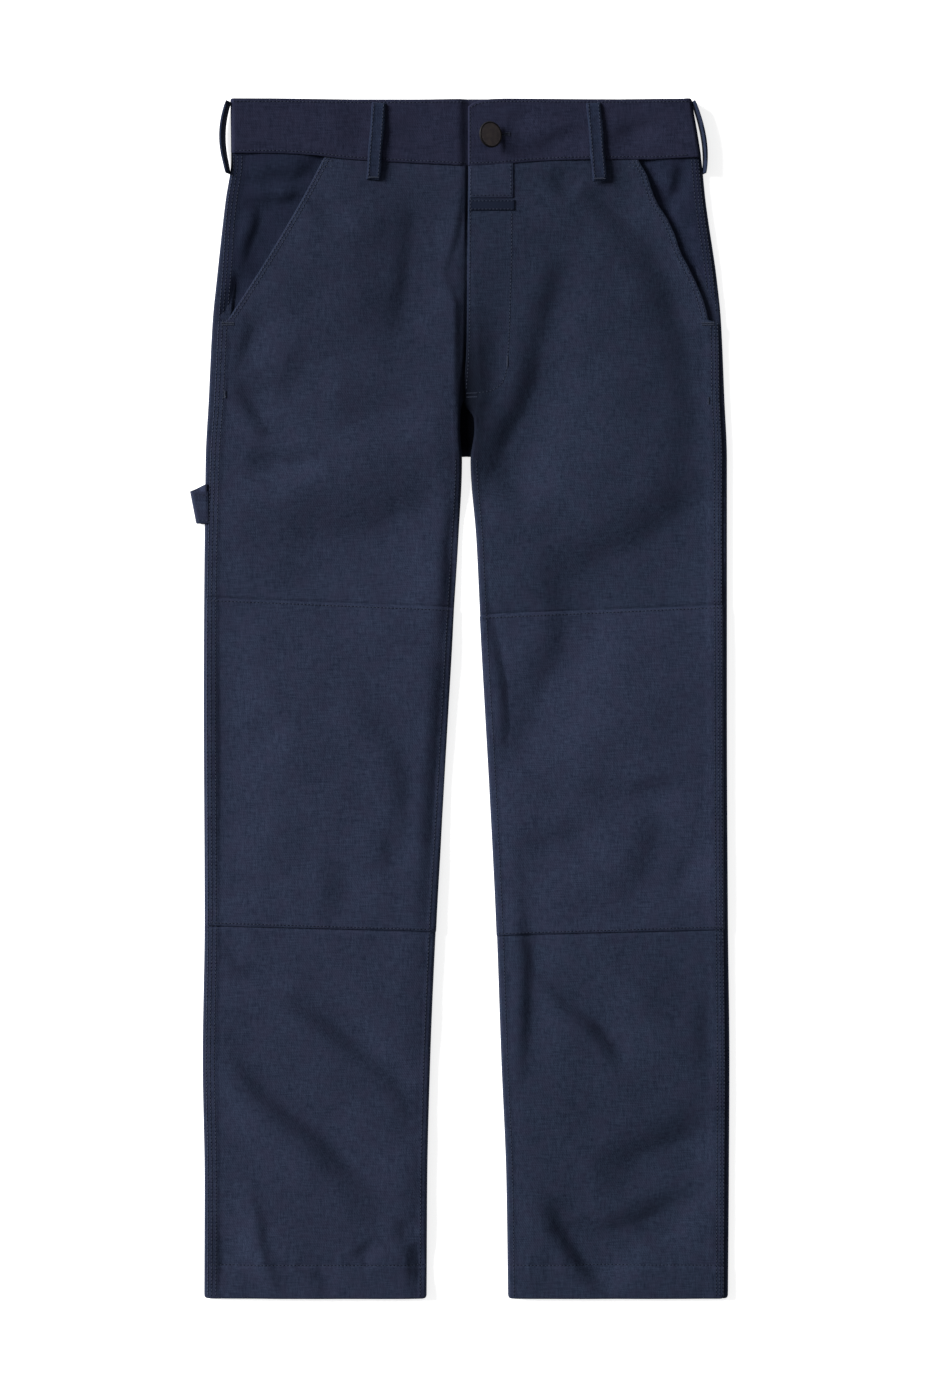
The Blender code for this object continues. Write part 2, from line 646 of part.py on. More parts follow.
def main():
    """Builds every piece of the jeans."""
    for old in list(bpy.data.objects):
        bpy.data.objects.remove(old)
    jeans = bpy.data.collections.new("carpenter_jeans")
    bpy.context.scene.collection.children.link(jeans)
    cloth = material("navy_twill", CLOTH_COLOUR, 0.85)
    band = material("waistband_twill", BAND_COLOUR, 0.85)
    tape = material("woven_tape", TAPE_COLOUR, 0.6)
    metal = material("dark_metal", METAL_COLOUR, 0.45, metallic=0.8)
    for leg in LEGS:
        make_front(jeans, leg, cloth)
        make_back(jeans, leg, cloth)
        make_pocket_facing(jeans, leg, cloth)
        make_knee_patch(jeans, leg, cloth)
        make_front_loop(jeans, leg, cloth)
        make_side_loop(jeans, leg, cloth)
    make_waistband(jeans, band)
    make_hammer_loop(jeans, cloth)
    make_flat_trim(jeans, "fly_patch", FLY_PATCH, SEAM_GAP, TRIM_WALL, cloth)
    make_flat_trim(jeans, "fly_tape", FLY_TAPE, SEAM_GAP, TRIM_WALL, tape)
    make_button(jeans, metal)


main()
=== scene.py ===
"""Carpenter jeans laid flat on their back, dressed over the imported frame.

Lengths are in millimetres until a point is placed, and then in metres. A drop is a distance down the garment
from the top of the waistband. Right and left are the wearer's, so the right leg lies at -X.
"""

import logging
import math
from dataclasses import dataclass
from enum import Enum
from typing import Callable, Sequence

import bpy
import numpy as np
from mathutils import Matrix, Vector


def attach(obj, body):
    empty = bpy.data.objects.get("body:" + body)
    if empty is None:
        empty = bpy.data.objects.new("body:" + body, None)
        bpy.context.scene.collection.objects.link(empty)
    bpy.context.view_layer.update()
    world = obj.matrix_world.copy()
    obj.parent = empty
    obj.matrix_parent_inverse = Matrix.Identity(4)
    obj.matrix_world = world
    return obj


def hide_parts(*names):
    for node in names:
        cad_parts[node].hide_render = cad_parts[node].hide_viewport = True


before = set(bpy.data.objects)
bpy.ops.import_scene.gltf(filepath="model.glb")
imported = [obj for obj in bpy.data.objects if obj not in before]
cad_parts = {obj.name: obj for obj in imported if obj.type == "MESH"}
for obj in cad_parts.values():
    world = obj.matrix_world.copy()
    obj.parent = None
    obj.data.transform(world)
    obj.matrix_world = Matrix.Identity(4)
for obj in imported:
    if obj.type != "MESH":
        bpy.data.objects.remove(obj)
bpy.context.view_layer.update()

MM = 0.001
BODY = "root"

log = logging.getLogger("jeans")

Array = np.ndarray
Height = Callable[[Array, Array], Array]


class Leg(Enum):
    """A side of the wearer, with the direction of X that points to the middle."""

    RIGHT = 1
    LEFT = -1

    @property
    def inwards(self) -> int:
        """The sign of X towards the middle of the garment."""
        return self.value

    @property
    def side(self) -> str:
        """The side's name as the nodes spell it."""
        return self.name.lower()

    def past(self, edge: Array | float, x: Array | float) -> Array:
        """How far a place lies inwards of an edge, 0 where it lies outwards of it."""
        return np.maximum(0.0, (x - edge) * self.inwards)


def mix(start: Array | float, end: Array | float, share: Array | float) -> Array | float:
    """The value that lies at a share of the way from start to end."""
    return start + (end - start) * share


def ease(value: Array | float) -> Array | float:
    """A share from 0 to 1 that starts and stops smoothly, 0 below 0 and 1 above 1."""
    value = np.clip(value, 0.0, 1.0)
    return value * value * (3.0 - 2.0 * value)


def bell(distance: Array, width: float) -> Array:
    """A soft bump: 1 at no distance, and almost 0 at twice the width."""
    return np.exp(-((distance / width) ** 2))


def place(x: Array | float, drop: Array | float, z: Array | float) -> Array:
    """Points in metres from millimetres across, down and up.

    Args:
        x: Distance across from the middle of the outline.
        drop: Distance down from the top of the waistband.
        z: Height above the floor.

    Returns:
        An array of the same shape with a last axis of X, Y and Z.
    """
    x, drop, z = np.broadcast_arrays(x, drop, z)
    return np.stack([x, Pattern.LENGTH / 2 - drop, z], axis=-1) * MM


class Curve:
    """A smooth line through a table's rows that never swings past them."""

    def __init__(self, *rows: tuple[float, float]) -> None:
        """Works out the slope at each row.

        Args:
            rows: Pairs of drop and value, from the top down.
        """
        self.drops, self.values = (np.array(column, float) for column in zip(*rows))
        self.steps = np.diff(self.drops)
        slopes = np.diff(self.values) / self.steps
        before, after = slopes[:-1], slopes[1:]
        same_way = before * after > 0
        total = np.where(same_way, before + after, 1.0)
        turns = np.where(same_way, 2.0 * before * after / total, 0.0)
        self.turns = np.concatenate([slopes[:1], turns, slopes[-1:]])

    def __call__(self, drop: Array | float) -> Array:
        """The value at a drop, kept level beyond both ends.

        Args:
            drop: One drop or an array of them.

        Returns:
            The values, in the same shape.
        """
        drop = np.clip(drop, self.drops[0], self.drops[-1])
        i = np.clip(np.searchsorted(self.drops, drop, side="right") - 1, 0, len(self.steps) - 1)
        step = self.steps[i]
        t = (drop - self.drops[i]) / step
        start = self.values[i] * (2 * t**3 - 3 * t**2 + 1) + self.turns[i] * step * (t**3 - 2 * t**2 + t)
        end = self.values[i + 1] * (3 * t**2 - 2 * t**3) + self.turns[i + 1] * step * (t**3 - t**2)
        return start + end


class Pattern:
    """The shared sizes of the cut: where each edge and seam lies, seen from above."""

    LENGTH = 1056.0
    CROTCH = 315.0
    CENTRE_BACK = 5.5
    BAND_SIDE = 48.0
    BAND_HALF = 206.0
    OVERLAP_END = 7.0
    UNDERLAP_END = 42.0
    POCKET_END = 195.0
    POCKET_FADE = 26.0
    HEM_STITCH = 1026.4
    HEM_CORNER = 3.4

    OUTER = {
        Leg.RIGHT: Curve(
            (0, -202.2), (54, -201.7), (89, -206.6), (160, -214.5), (195, -218.0), (265, -221.5),
            (318, -224.2), (529, -225.9), (723, -225.1), (846, -226.8), (952, -225.1), (1056, -225.4),
        ),
        Leg.LEFT: Curve(
            (0, 203.9), (54, 212.7), (89, 216.3), (160, 226.4), (195, 229.9), (265, 233.0),
            (318, 235.2), (529, 235.2), (723, 236.1), (846, 237.4), (952, 236.9), (1056, 236.1),
        ),
    }
    INNER = {
        Leg.RIGHT: Curve(
            (282, 0.4), (291, 0.2), (318, 1.8), (388, -1.5), (459, -5.9), (617, -14.7), (723, -20.9),
            (846, -26.2), (952, -28.8), (1056, -29.4),
        ),
        Leg.LEFT: Curve(
            (282, 12.2), (291, 12.6), (318, 9.2), (388, 14.3), (459, 17.8), (617, 26.6), (723, 31.9),
            (846, 36.3), (952, 40.7), (1056, 42.2),
        ),
    }
    OUTSEAM_INSET = {
        Leg.RIGHT: Curve(
            (48, 2.0), (106, 2.4), (146, 4.2), (218, 5.4), (265, 5.2), (330, 4.2), (440, 2.9), (1056, 2.9)
        ),
        Leg.LEFT: Curve((48, 2.5), (212, 3.2), (265, 4.6), (730, 4.4), (1056, 4.2)),
    }
    FLY = Curve((48, 7.3), (133, 6.6), (212, 5.9), (240, 4.4), (262, 2.4), (282, 0.2))
    WAIST = Curve(
        (-206, 48.0), (-163, 48.2), (-128, 50.0), (-110, 52.2), (-92, 54.0), (-57, 56.0), (-22, 57.7),
        (13, 59.0), (31, 58.3), (48, 56.9), (66, 55.4), (90, 54.2), (130, 53.6), (170, 53.7), (189, 52.5),
        (214, 51.4),
    )
    MOUTH = {
        Leg.RIGHT: Curve((48, -117.7), (85, -137.1), (121, -157.8), (158, -180.5), (195, -204.5)),
        Leg.LEFT: Curve(
            (48, 154.6), (55, 157.6), (69, 165.3), (79, 168.4), (93, 174.1), (105, 181.9), (119, 188.7),
            (134, 193.8), (149, 201.4), (165, 209.0), (179, 214.6), (190, 217.6), (195, 218.4),
        ),
    }
    PATCH = {Leg.RIGHT: (439.5, 448.4, 727.8, 733.7), Leg.LEFT: (445.7, 455.0, 731.2, 737.1)}

    def corner(self, drop: Array) -> Array:
        """How far the hem's rounded corners draw the outline in."""
        t = np.clip((drop - self.LENGTH + self.HEM_CORNER) / self.HEM_CORNER, 0.0, 1.0)
        return 2.0 * (1.0 - np.sqrt(1.0 - t * t))

    def outer(self, leg: Leg, drop: Array) -> Array:
        """The leg's outer side."""
        return self.OUTER[leg](drop) + leg.inwards * self.corner(drop)

    def inner(self, leg: Leg, drop: Array) -> Array:
        """The leg's inner side."""
        return self.INNER[leg](drop) - leg.inwards * self.corner(drop)

    def outseam(self, leg: Leg, drop: Array) -> Array:
        """The front's folded edge along the outseam."""
        return self.outer(leg, drop) + leg.inwards * self.OUTSEAM_INSET[leg](drop)

    def waist_seam(self, x: Array) -> Array:
        """The drop of the seam under the waistband, which sags towards the fly and waves a little."""
        return self.WAIST(x)

    def mouth(self, leg: Leg, drop: Array) -> Array:
        """The slanted edge of the front at its pocket."""
        return self.MOUTH[leg](drop)

    def in_leg(self, drop: Array) -> Array:
        """0 beside the pocket and 1 where the leg goes on below it."""
        return ease((drop - self.POCKET_END) / self.POCKET_FADE)

    def fold_top(self, drop: Array) -> Array:
        """The height of the leg's outer fold, lower beside the pocket."""
        return mix(4.6, 5.0, self.in_leg(drop))

    def inseam_lift(self, drop: Array) -> Array:
        """How far the inseam has risen off the floor: 0 at the crotch and 1 well down the leg."""
        return ease((drop - self.CROTCH - 25.0) / 110.0)


PATTERN = Pattern()


@dataclass(frozen=True)
class Crease:
    """A soft trough in the cloth, or a ridge where its depth is below 0.

    Its run is a line of places, each a distance across and a drop, and it goes down the garment.
    Left and right are the half widths of its two sides, as seen from above with the waist at the top.
    A trough's run lies on its steeper side, which is the one that looks dark. A ridge's run lies on its crest.
    """

    run: tuple[tuple[float, float], ...]
    left: float
    right: float
    depth: float

    def sink(self, x: Array, drop: Array) -> Array:
        """How far the trough lowers the cloth at each place.

        Args:
            x: Distances across.
            drop: Drops, in the same shape.

        Returns:
            Depths in millimetres, below 0 where it rises.
        """
        ends = np.array(self.run, float)
        lengths = np.hypot(*np.diff(ends, axis=0).T)
        nearest, along, aside, past = (np.full(np.shape(x), value) for value in (1e9, 0.0, 0.0, 0.0))
        before = 0.0
        for number, ((x1, drop1), (x2, drop2), length) in enumerate(zip(self.run, self.run[1:], lengths)):
            share = ((x - x1) * (x2 - x1) + (drop - drop1) * (drop2 - drop1)) / length**2
            kept = np.clip(share, 0.0, 1.0)
            away = np.hypot(x - mix(x1, x2, kept), drop - mix(drop1, drop2, kept))
            turned = ((x2 - x1) * (drop - drop1) - (drop2 - drop1) * (x - x1)) / length
            over = np.zeros_like(away)
            if number == 0:
                over = np.maximum(over, -share * length)
            if number == len(lengths) - 1:
                over = np.maximum(over, (share - 1.0) * length)
            closer = away < nearest
            along = np.where(closer, before + kept * length, along)
            aside = np.where(closer, np.where(over > 0, turned, np.sign(turned) * away), aside)
            past = np.where(closer, over, past)
            nearest = np.minimum(away, nearest)
            before += length
        steep = min(self.left, self.right)
        shift = 0.0 if self.depth < 0 else 0.6 * steep * (1.0 if self.right < self.left else -1.0)
        aside = aside - shift
        width = mix(self.right, self.left, ease(0.5 + aside / (0.6 * steep)))
        share = along / lengths.sum()
        taper = mix(1.0 - np.abs(2.0 * share - 1.0) ** 2.4, ease(2.4 * np.minimum(share, 1.0 - share)), 0.5)
        q = np.hypot(aside / width, past / (0.5 * (self.left + self.right)))
        return self.depth * (0.1 + 0.9 * taper) * (np.exp(-q * q) - 0.08 * np.exp(-(((q - 1.9) / 0.7) ** 2)))


CREASES: dict[Leg, tuple[Crease, ...]] = {
    Leg.RIGHT: (
        Crease(((-187, 186), (-184, 202), (-192, 224), (-197, 245)), 6, 18, 2.2),
        Crease(((-197, 247), (-191, 262), (-181, 278), (-172, 290), (-175, 304)), 8, 24, 3.6),
        Crease(((-118, 319), (-154, 317), (-186, 311)), 9, 17, 4.2),
        Crease(((-6, 301), (-77, 318), (-130, 331), (-205, 347)), 22, 24, -2.4),
        Crease(((-22, 330), (-46, 358), (-84, 374), (-136, 380), (-196, 392)), 28, 62, 6.4),
        Crease(((-60, 344), (-62, 372), (-76, 396)), 12, 34, 1.4),
        Crease(((-104, 240), (-128, 236), (-152, 226)), 24, 30, 2.2),
        Crease(((-22, 293), (-60, 287), (-105, 286)), 16, 14, 2.6),
        Crease(((-50, 60), (-55, 104), (-54, 140), (-56, 170), (-65, 204), (-76, 240)), 33, 64, 5.4),
        Crease(((-44, 80), (-45, 130), (-52, 180), (-62, 214)), 9, 22, 1.6),
        Crease(((-90, 109), (-114, 95), (-138, 80)), 9, 12, 2.0),
        Crease(((-216, 430), (-214, 530), (-213, 600), (-214, 650), (-218, 715)), 7, 26, 2.4),
        Crease(((-4, 334), (-8, 400), (-13, 480)), 8, 12, 3.4),
        Crease(((-11, 450), (-17, 520), (-25, 610), (-32, 715)), 8, 10, 2.6),
        Crease(((-104, 520), (-79, 545), (-58, 573), (-49, 602), (-51, 670)), 12, 30, 2.6),
        Crease(((-149, 554), (-186, 549)), 12, 14, 1.2),
        Crease(((-126, 652), (-122, 690), (-123, 727)), 8, 8, -0.7),
        Crease(((-106, 658), (-103, 724)), 8, 14, 0.8),
        Crease(((-67, 642), (-62, 680)), 7, 14, 1.3),
        Crease(((-149, 786), (-181, 776), (-205, 775)), 12, 9, 2.2),
        Crease(((-216, 738), (-201, 756), (-192, 765)), 6, 12, 1.5),
        Crease(
            ((-224, 836), (-206, 862), (-186, 890), (-160, 912), (-134, 932), (-106, 962), (-82, 990)),
            17, 13, -3.4,
        ),
        Crease(
            ((-214, 826), (-192, 852), (-172, 878), (-148, 896), (-122, 916), (-92, 946), (-66, 976)),
            9, 34, 3.6,
        ),
        Crease(
            ((-190, 776), (-150, 790), (-114, 818), (-82, 843), (-60, 862), (-49, 884), (-51, 918)),
            10, 26, 3.8,
        ),
        Crease(((-130, 800), (-100, 830), (-76, 856)), 12, 20, 1.6),
        Crease(((-187, 960), (-179, 989), (-177, 1012), (-166, 1040), (-160, 1056)), 10, 6, -2.0),
        Crease(((-54, 984), (-50, 1010)), 7, 12, 1.8),
        Crease(((-75, 1004), (-94, 1018)), 5, 10, 1.8),
        Crease(((-44, 1004), (-36, 1050)), 8, 10, 2.6),
        Crease(((-216, 972), (-214, 1013), (-216, 1056)), 7, 14, 2.2),
        Crease(((-132, 1030), (-113, 1056)), 7, 12, 1.5),
    ),
    Leg.LEFT: (
        Crease(
            (
                (72, 58), (90, 82), (112, 95), (136, 108), (162, 132),
                (179, 170), (190, 207), (196, 248), (200, 306),
            ),
            17, 76, 3.8,
        ),
        Crease(((104, 80), (128, 97), (156, 117)), 9, 14, 2.6),
        Crease(((77, 64), (97, 90)), 8, 16, 2.6),
        Crease(((206, 240), (202, 290), (194, 330)), 16, 44, 1.2),
        Crease(((101, 133), (84, 157), (75, 190), (68, 222)), 12, 26, 2.8),
        Crease(((72, 192), (66, 224), (62, 250), (55, 273), (39, 299), (25, 326), (14, 352)), 14, 36, 6.4),
        Crease(((24, 180), (24, 240), (20, 290)), 18, 26, 1.8),
        Crease(((28, 320), (46, 344), (65, 366)), 12, 22, 2.2),
        Crease(((186, 270), (168, 318), (128, 350), (86, 362)), 44, 32, -1.4),
        Crease(((218, 314), (204, 342), (186, 368), (150, 390), (112, 404), (70, 410)), 28, 64, 6.4),
        Crease(
            ((69, 402), (80, 428), (87, 456), (84, 484), (69, 517), (60, 543), (49, 565), (36, 590)),
            18, 34, 4.6,
        ),
        Crease(((22, 432), (30, 474), (38, 511), (41, 549), (37, 584)), 7, 34, 3.2),
        Crease(((196, 604), (150, 608), (104, 596)), 10, 18, 3.2),
        Crease(((122, 634), (88, 649), (45, 654)), 12, 22, 2.4),
        Crease(((176, 622), (160, 673), (140, 706)), 16, 30, 2.6),
        Crease(((209, 654), (182, 701)), 10, 20, 1.8),
        Crease(((54, 694), (58, 732), (61, 760), (60, 793), (58, 837), (54, 872)), 7, 18, 3.2),
        Crease(((66, 772), (92, 797), (116, 813), (132, 831), (143, 858)), 8, 24, 5.0),
        Crease(((218, 780), (214, 820), (220, 866)), 9, 12, 2.0),
        Crease(((230, 892), (192, 914), (162, 924), (116, 934)), 17, 42, 5.6),
        Crease(((218, 956), (188, 971), (160, 986), (132, 995), (88, 1000)), 14, 34, 5.8),
        Crease(((78, 966), (86, 996), (101, 1014), (115, 1034), (131, 1056)), 9, 30, 5.2),
        Crease(((222, 976), (232, 1036)), 6, 10, 1.6),
    ),
}
FACING_CREASES: dict[Leg, tuple[Crease, ...]] = {
    Leg.RIGHT: (
        Crease(((-120, 62), (-146, 67), (-191, 68)), 7, 10, 2.8),
        Crease(((-124, 82), (-150, 91), (-172, 90), (-190, 84)), 7, 13, 4.8),
        Crease(((-174, 92), (-179, 111), (-186, 129), (-193, 152)), 6, 14, 3.4),
        Crease(((-198, 150), (-200, 178)), 5, 8, 1.4),
    ),
    Leg.LEFT: (
        Crease(((198, 78), (184, 84), (166, 76)), 6, 10, 2.8),
        Crease(((194, 56), (190, 70), (185, 86)), 5, 9, 1.6),
    ),
}
BAND_CREASES = (
    Crease(((113, 24), (85, 33), (60, 45)), 6, 14, 1.7),
    Crease(((184, 16), (158, 24), (131, 34)), 6, 14, 1.5),
    Crease(((64, 11), (40, 18)), 5, 10, 1.2),
    Crease(((-97, 8), (-93, 48)), 12, 20, 1.3),
    Crease(((-47, 6), (-50, 46)), 14, 20, 1.0),
    Crease(((148, 8), (141, 44)), 10, 20, 1.1),
)


def ripple(along: Array, start: float) -> Array:
    """The uneven puckers that sewing draws into a seam, from about -1 to 1."""
    waves = ((9.7, 0.0, 0.5), (14.3, 1.3, 0.4), (6.6, 0.4, 0.3), (23.0, 2.1, 0.3))
    return sum(size * np.sin(2 * np.pi * along / pitch + phase + start) for pitch, phase, size in waves)


def swell(x: Array, drop: Array, start: float) -> Array:
    """The broad, slight waves of cloth that doesn't lie quite flat, from about -1 to 1."""
    waves = (
        (97, 61, 0.0, 0.35), (-71, 120, 1.1, 0.3), (48, 210, 2.3, 0.2),
        (160, -83, 0.7, 0.3), (37, -52, 3.1, 0.12),
    )
    return sum(
        size * np.sin(2 * np.pi * (x / across + drop / down) + phase + start)
        for across, down, phase, size in waves
    )


def nearness(distance: Array, reach: float) -> Array:
    """1 at a seam or an edge, falling softly to 0 at the reach away from it."""
    return np.maximum(0.0, 1.0 - distance / reach) ** 2


def kept_above(z: Array, level: float, give: float) -> Array:
    """Heights that settle softly below a level and never sink further below it than the give."""
    return np.where(z < level, level - give + give * np.exp((z - level) / give), z)


class Finish:
    """A material made once, the first time that a piece asks for it."""

    NAME = "finish"

    def material(self) -> bpy.types.Material:
        """The finish as a Blender material.

        Returns:
            The material, shared by every piece that has this finish.
        """
        made = bpy.data.materials.get(self.NAME)
        if made is None:
            made = bpy.data.materials.new(self.NAME)
            made.use_nodes = True
            self.fill(made.node_tree, made.node_tree.nodes["Principled BSDF"])
        return made

    def fill(self, tree: bpy.types.NodeTree, shader: bpy.types.Node) -> None:
        """Sets the shader and adds the nodes that feed it.

        Args:
            tree: The material's nodes.
            shader: Its main shader.
        """
        raise NotImplementedError


def linear(colour: str) -> tuple[float, float, float, float]:
    """An sRGB hex colour as the linear values that a shader takes.

    Args:
        colour: Six hex digits after a hash.

    Returns:
        Red, green, blue and an alpha of 1.
    """
    channels = [int(colour[i : i + 2], 16) / 255 for i in (1, 3, 5)]
    red, green, blue = (c / 12.92 if c <= 0.04045 else ((c + 0.055) / 1.055) ** 2.4 for c in channels)
    return red, green, blue, 1.0


def feed(node: bpy.types.Node, inputs: dict) -> None:
    """Gives inputs of a node their values, or links to other nodes' outputs.

    Args:
        node: The node.
        inputs: A value, or another node's output socket, for each input by name or number.
    """
    for name, value in inputs.items():
        if isinstance(value, bpy.types.NodeSocket):
            node.id_data.links.new(value, node.inputs[name])
        else:
            node.inputs[name].default_value = value


def add_node(
    tree: bpy.types.NodeTree, kind: str, settings: dict | None = None, inputs: dict | None = None
) -> bpy.types.Node:
    """Adds one shader node with its settings and links.

    Args:
        tree: The node tree to add it to.
        kind: Blender's name for the node, without its ShaderNode prefix.
        settings: Values of the node's own properties.
        inputs: A value, or another node's output socket, for each input by name or number.

    Returns:
        The new node.
    """
    node = tree.nodes.new(f"ShaderNode{kind}")
    for name, value in (settings or {}).items():
        setattr(node, name, value)
    feed(node, inputs or {})
    return node


SMOOTH = {"interpolation_type": "SMOOTHSTEP"}
WAVE_PERIODS = math.pi / 10  # a wave texture's scale for one band in each unit of length


@dataclass(frozen=True)
class NavyTwill(Finish):
    """Washed cotton twill, woven from yarns dyed in slightly different navies.

    The yarns give a fine crosshatch of lighter and darker slubs. Twill lines of 0.6 mm are too fine to show
    from three metres, so they are drawn 1.7 mm apart. Cotton scatters light evenly, so it is rough, with
    a faint bluish sheen from its loose fibres.
    """

    dark: str = "#1c2131"
    light: str = "#2d3446"
    warm: str = "#2a293b"
    slub_width: float = 0.9
    slub_length: float = 8.0
    twill_pitch: float = 1.7
    relief: float = 0.3
    # Painted shade in the fork: how dark it is, its ellipse (middle across and down, half widths) and where it
    # starts to fade
    painted_shade: float = 0.0
    fork: tuple[float, float, float, float] = (5.5, 288.0, 24.0, 42.0)
    fork_core: float = 0.4

    @property
    def NAME(self) -> str:
        """The name of the material, which differs where shade is painted into the cloth at the fork."""
        painted_fork_shade = f"_unfaded_{self.fork[2]:.0f}" if self.painted_shade else ""
        return f"navy_cotton_twill_{self.dark[1:]}{painted_fork_shade}"

    def fill(self, tree: bpy.types.NodeTree, shader: bpy.types.Node) -> None:
        """Sets the shader, with the slubs, twill lines and clouding of the cloth."""
        where = add_node(tree, "TexCoord").outputs["Object"]
        warp, weft = self.slubs(tree, where, True), self.slubs(tree, where, False)
        crossed = add_node(tree, "Math", {"operation": "ADD"}, {0: warp, 1: weft}).outputs[0]
        yarns = add_node(
            tree, "MapRange", inputs={"Value": crossed, "From Min": 0.72, "From Max": 1.28}
        ).outputs[0]
        turned = add_node(
            tree,
            "Mapping",
            inputs={"Vector": where, "Rotation": (0.0, 0.0, math.radians(-32)), "Scale": (1 / MM,) * 3},
        ).outputs[0]
        bands = {"bands_direction": "X", "wave_profile": "SIN"}
        lines = {"Vector": turned, "Scale": WAVE_PERIODS / self.twill_pitch, "Distortion": 0.6, "Detail": 1.0}
        twill = add_node(tree, "TexWave", bands, lines).outputs[1]
        cloudy, tinted = (
            add_node(tree, "TexNoise", inputs={"Vector": where, "Scale": scale, "Detail": detail}).outputs[0]
            for scale, detail in ((26.0, 3.0), (85.0, 2.0))
        )
        tint = add_node(
            tree, "MapRange", inputs={"Value": tinted, "From Min": 0.42, "From Max": 0.68, "To Max": 0.4}
        ).outputs[0]
        dark, light, warm = (linear(colour) for colour in (self.dark, self.light, self.warm))
        base = add_node(tree, "Mix", {"data_type": "RGBA"}, {0: yarns, 6: dark, 7: light}).outputs[2]
        warmed = add_node(tree, "Mix", {"data_type": "RGBA"}, {0: tint, 6: base, 7: warm}).outputs[2]
        value = self.brightness(tree, where, cloudy, twill)
        colour = add_node(tree, "HueSaturation", inputs={"Color": warmed, "Value": value}).outputs[0]
        height = add_node(tree, "Math", {"operation": "ADD"}, {0: yarns, 1: twill}).outputs[0]
        weave = {"Height": height, "Strength": self.relief, "Distance": 0.25 * MM}
        dress = {
            "Base Color": colour,
            "Normal": add_node(tree, "Bump", inputs=weave).outputs[0],
            "Roughness": 0.86,
            "Specular IOR Level": 0.1,
            "Specular Tint": linear("#8fa0c8"),
            "Sheen Weight": 0.03,
            "Sheen Tint": linear("#7f90bc"),
            "Sheen Roughness": 0.45,
        }
        feed(shader, dress)

    def slubs(
        self, tree: bpy.types.NodeTree, where: bpy.types.NodeSocket, upright: bool
    ) -> bpy.types.NodeSocket:
        """Yarns of uneven thickness, as noise stretched along them.

        Args:
            tree: The material's nodes.
            where: Object coordinates.
            upright: True for warp yarns, which run down the leg.

        Returns:
            The noise's output, from 0 to 1.
        """
        thin, long = 1.0 / (self.slub_width * MM), 1.0 / (self.slub_length * MM)
        scale = (thin, long, thin) if upright else (long, thin, thin)
        stretched = add_node(tree, "Mapping", inputs={"Vector": where, "Scale": scale}).outputs[0]
        noise = {"Vector": stretched, "Scale": 1.0, "Detail": 2.0, "Roughness": 0.55}
        return add_node(tree, "TexNoise", inputs=noise).outputs[0]

    def brightness(
        self,
        tree: bpy.types.NodeTree,
        where: bpy.types.NodeSocket,
        cloudy: bpy.types.NodeSocket,
        twill: bpy.types.NodeSocket,
    ) -> bpy.types.NodeSocket:
        """How light the cloth is: clouded by washing, ribbed by its twill, darker at the hips and the shins.

        Args:
            tree: The material's nodes.
            where: Object coordinates.
            cloudy: Broad noise.
            twill: The twill lines.

        Returns:
            The brightness, about 1.
        """
        down = add_node(tree, "SeparateXYZ", inputs={0: where}).outputs[1]
        hip, knee, calf, shin = ((PATTERN.LENGTH / 2 - drop) * MM for drop in (130.0, 470.0, 700.0, 860.0))
        value = None
        for source, start, end, low, high, settings in (
            (cloudy, 0.3, 0.7, 0.96, 1.04, None),
            (twill, 0.0, 1.0, 0.95, 1.05, None),
            (down, knee, hip, 1.02, 0.87, SMOOTH),
            (down, shin, calf, 0.93, 1.0, SMOOTH),
        ):
            spread = {"Value": source, "From Min": start, "From Max": end, "To Min": low, "To Max": high}
            share = add_node(tree, "MapRange", settings, spread).outputs[0]
            if value is None:
                value = share
            else:
                value = add_node(tree, "Math", {"operation": "MULTIPLY"}, {0: value, 1: share}).outputs[0]
        return self.painted_fork_shade(tree, where, value) if self.painted_shade else value

    def painted_fork_shade(
        self, tree: bpy.types.NodeTree, where: bpy.types.NodeSocket, value: bpy.types.NodeSocket
    ) -> bpy.types.NodeSocket:
        """Paints shade into the cloth's colour deep in the fork, darkest at the middle of an ellipse.

        Args:
            tree: The material's nodes.
            where: Object coordinates.
            value: The brightness to darken.

        Returns:
            The darker brightness.
        """
        x, drop, across, down = self.fork
        middle = (x * MM, (PATTERN.LENGTH / 2 - drop) * MM, 0.0)
        scale = (1 / (across * MM), 1 / (down * MM), 0.0)
        shifted = add_node(tree, "VectorMath", {"operation": "SUBTRACT"}, {0: where, 1: middle}).outputs[0]
        scaled = add_node(tree, "VectorMath", {"operation": "MULTIPLY"}, {0: shifted, 1: scale}).outputs[0]
        away = add_node(tree, "VectorMath", {"operation": "LENGTH"}, {0: scaled}).outputs["Value"]
        spread = {"Value": away, "From Min": self.fork_core, "To Min": 1.0 - self.painted_shade}
        shade = add_node(tree, "MapRange", SMOOTH, spread).outputs[0]
        return add_node(tree, "Math", {"operation": "MULTIPLY"}, {0: value, 1: shade}).outputs[0]


@dataclass(frozen=True)
class Speckled(Finish):
    """A plain colour that fine noise makes lighter and darker."""

    colour: str
    scale: float
    span: tuple[float, float]
    values: tuple[float, float]
    roughness: float
    specular: float

    def fill(self, tree: bpy.types.NodeTree, shader: bpy.types.Node) -> None:
        """Sets the shader, its colour speckled by noise."""
        where = add_node(tree, "TexCoord").outputs["Object"]
        speckle = {"Vector": where, "Scale": self.scale, "Detail": 1.0}
        noise = add_node(tree, "TexNoise", inputs=speckle).outputs[0]
        (start, end), (low, high) = self.span, self.values
        spread = {"Value": noise, "From Min": start, "From Max": end, "To Min": low, "To Max": high}
        value = add_node(tree, "MapRange", inputs=spread).outputs[0]
        shade = {"Color": linear(self.colour), "Value": value}
        colour = add_node(tree, "HueSaturation", inputs=shade).outputs[0]
        feed(shader, {"Base Color": colour, "Roughness": self.roughness, "Specular IOR Level": self.specular})


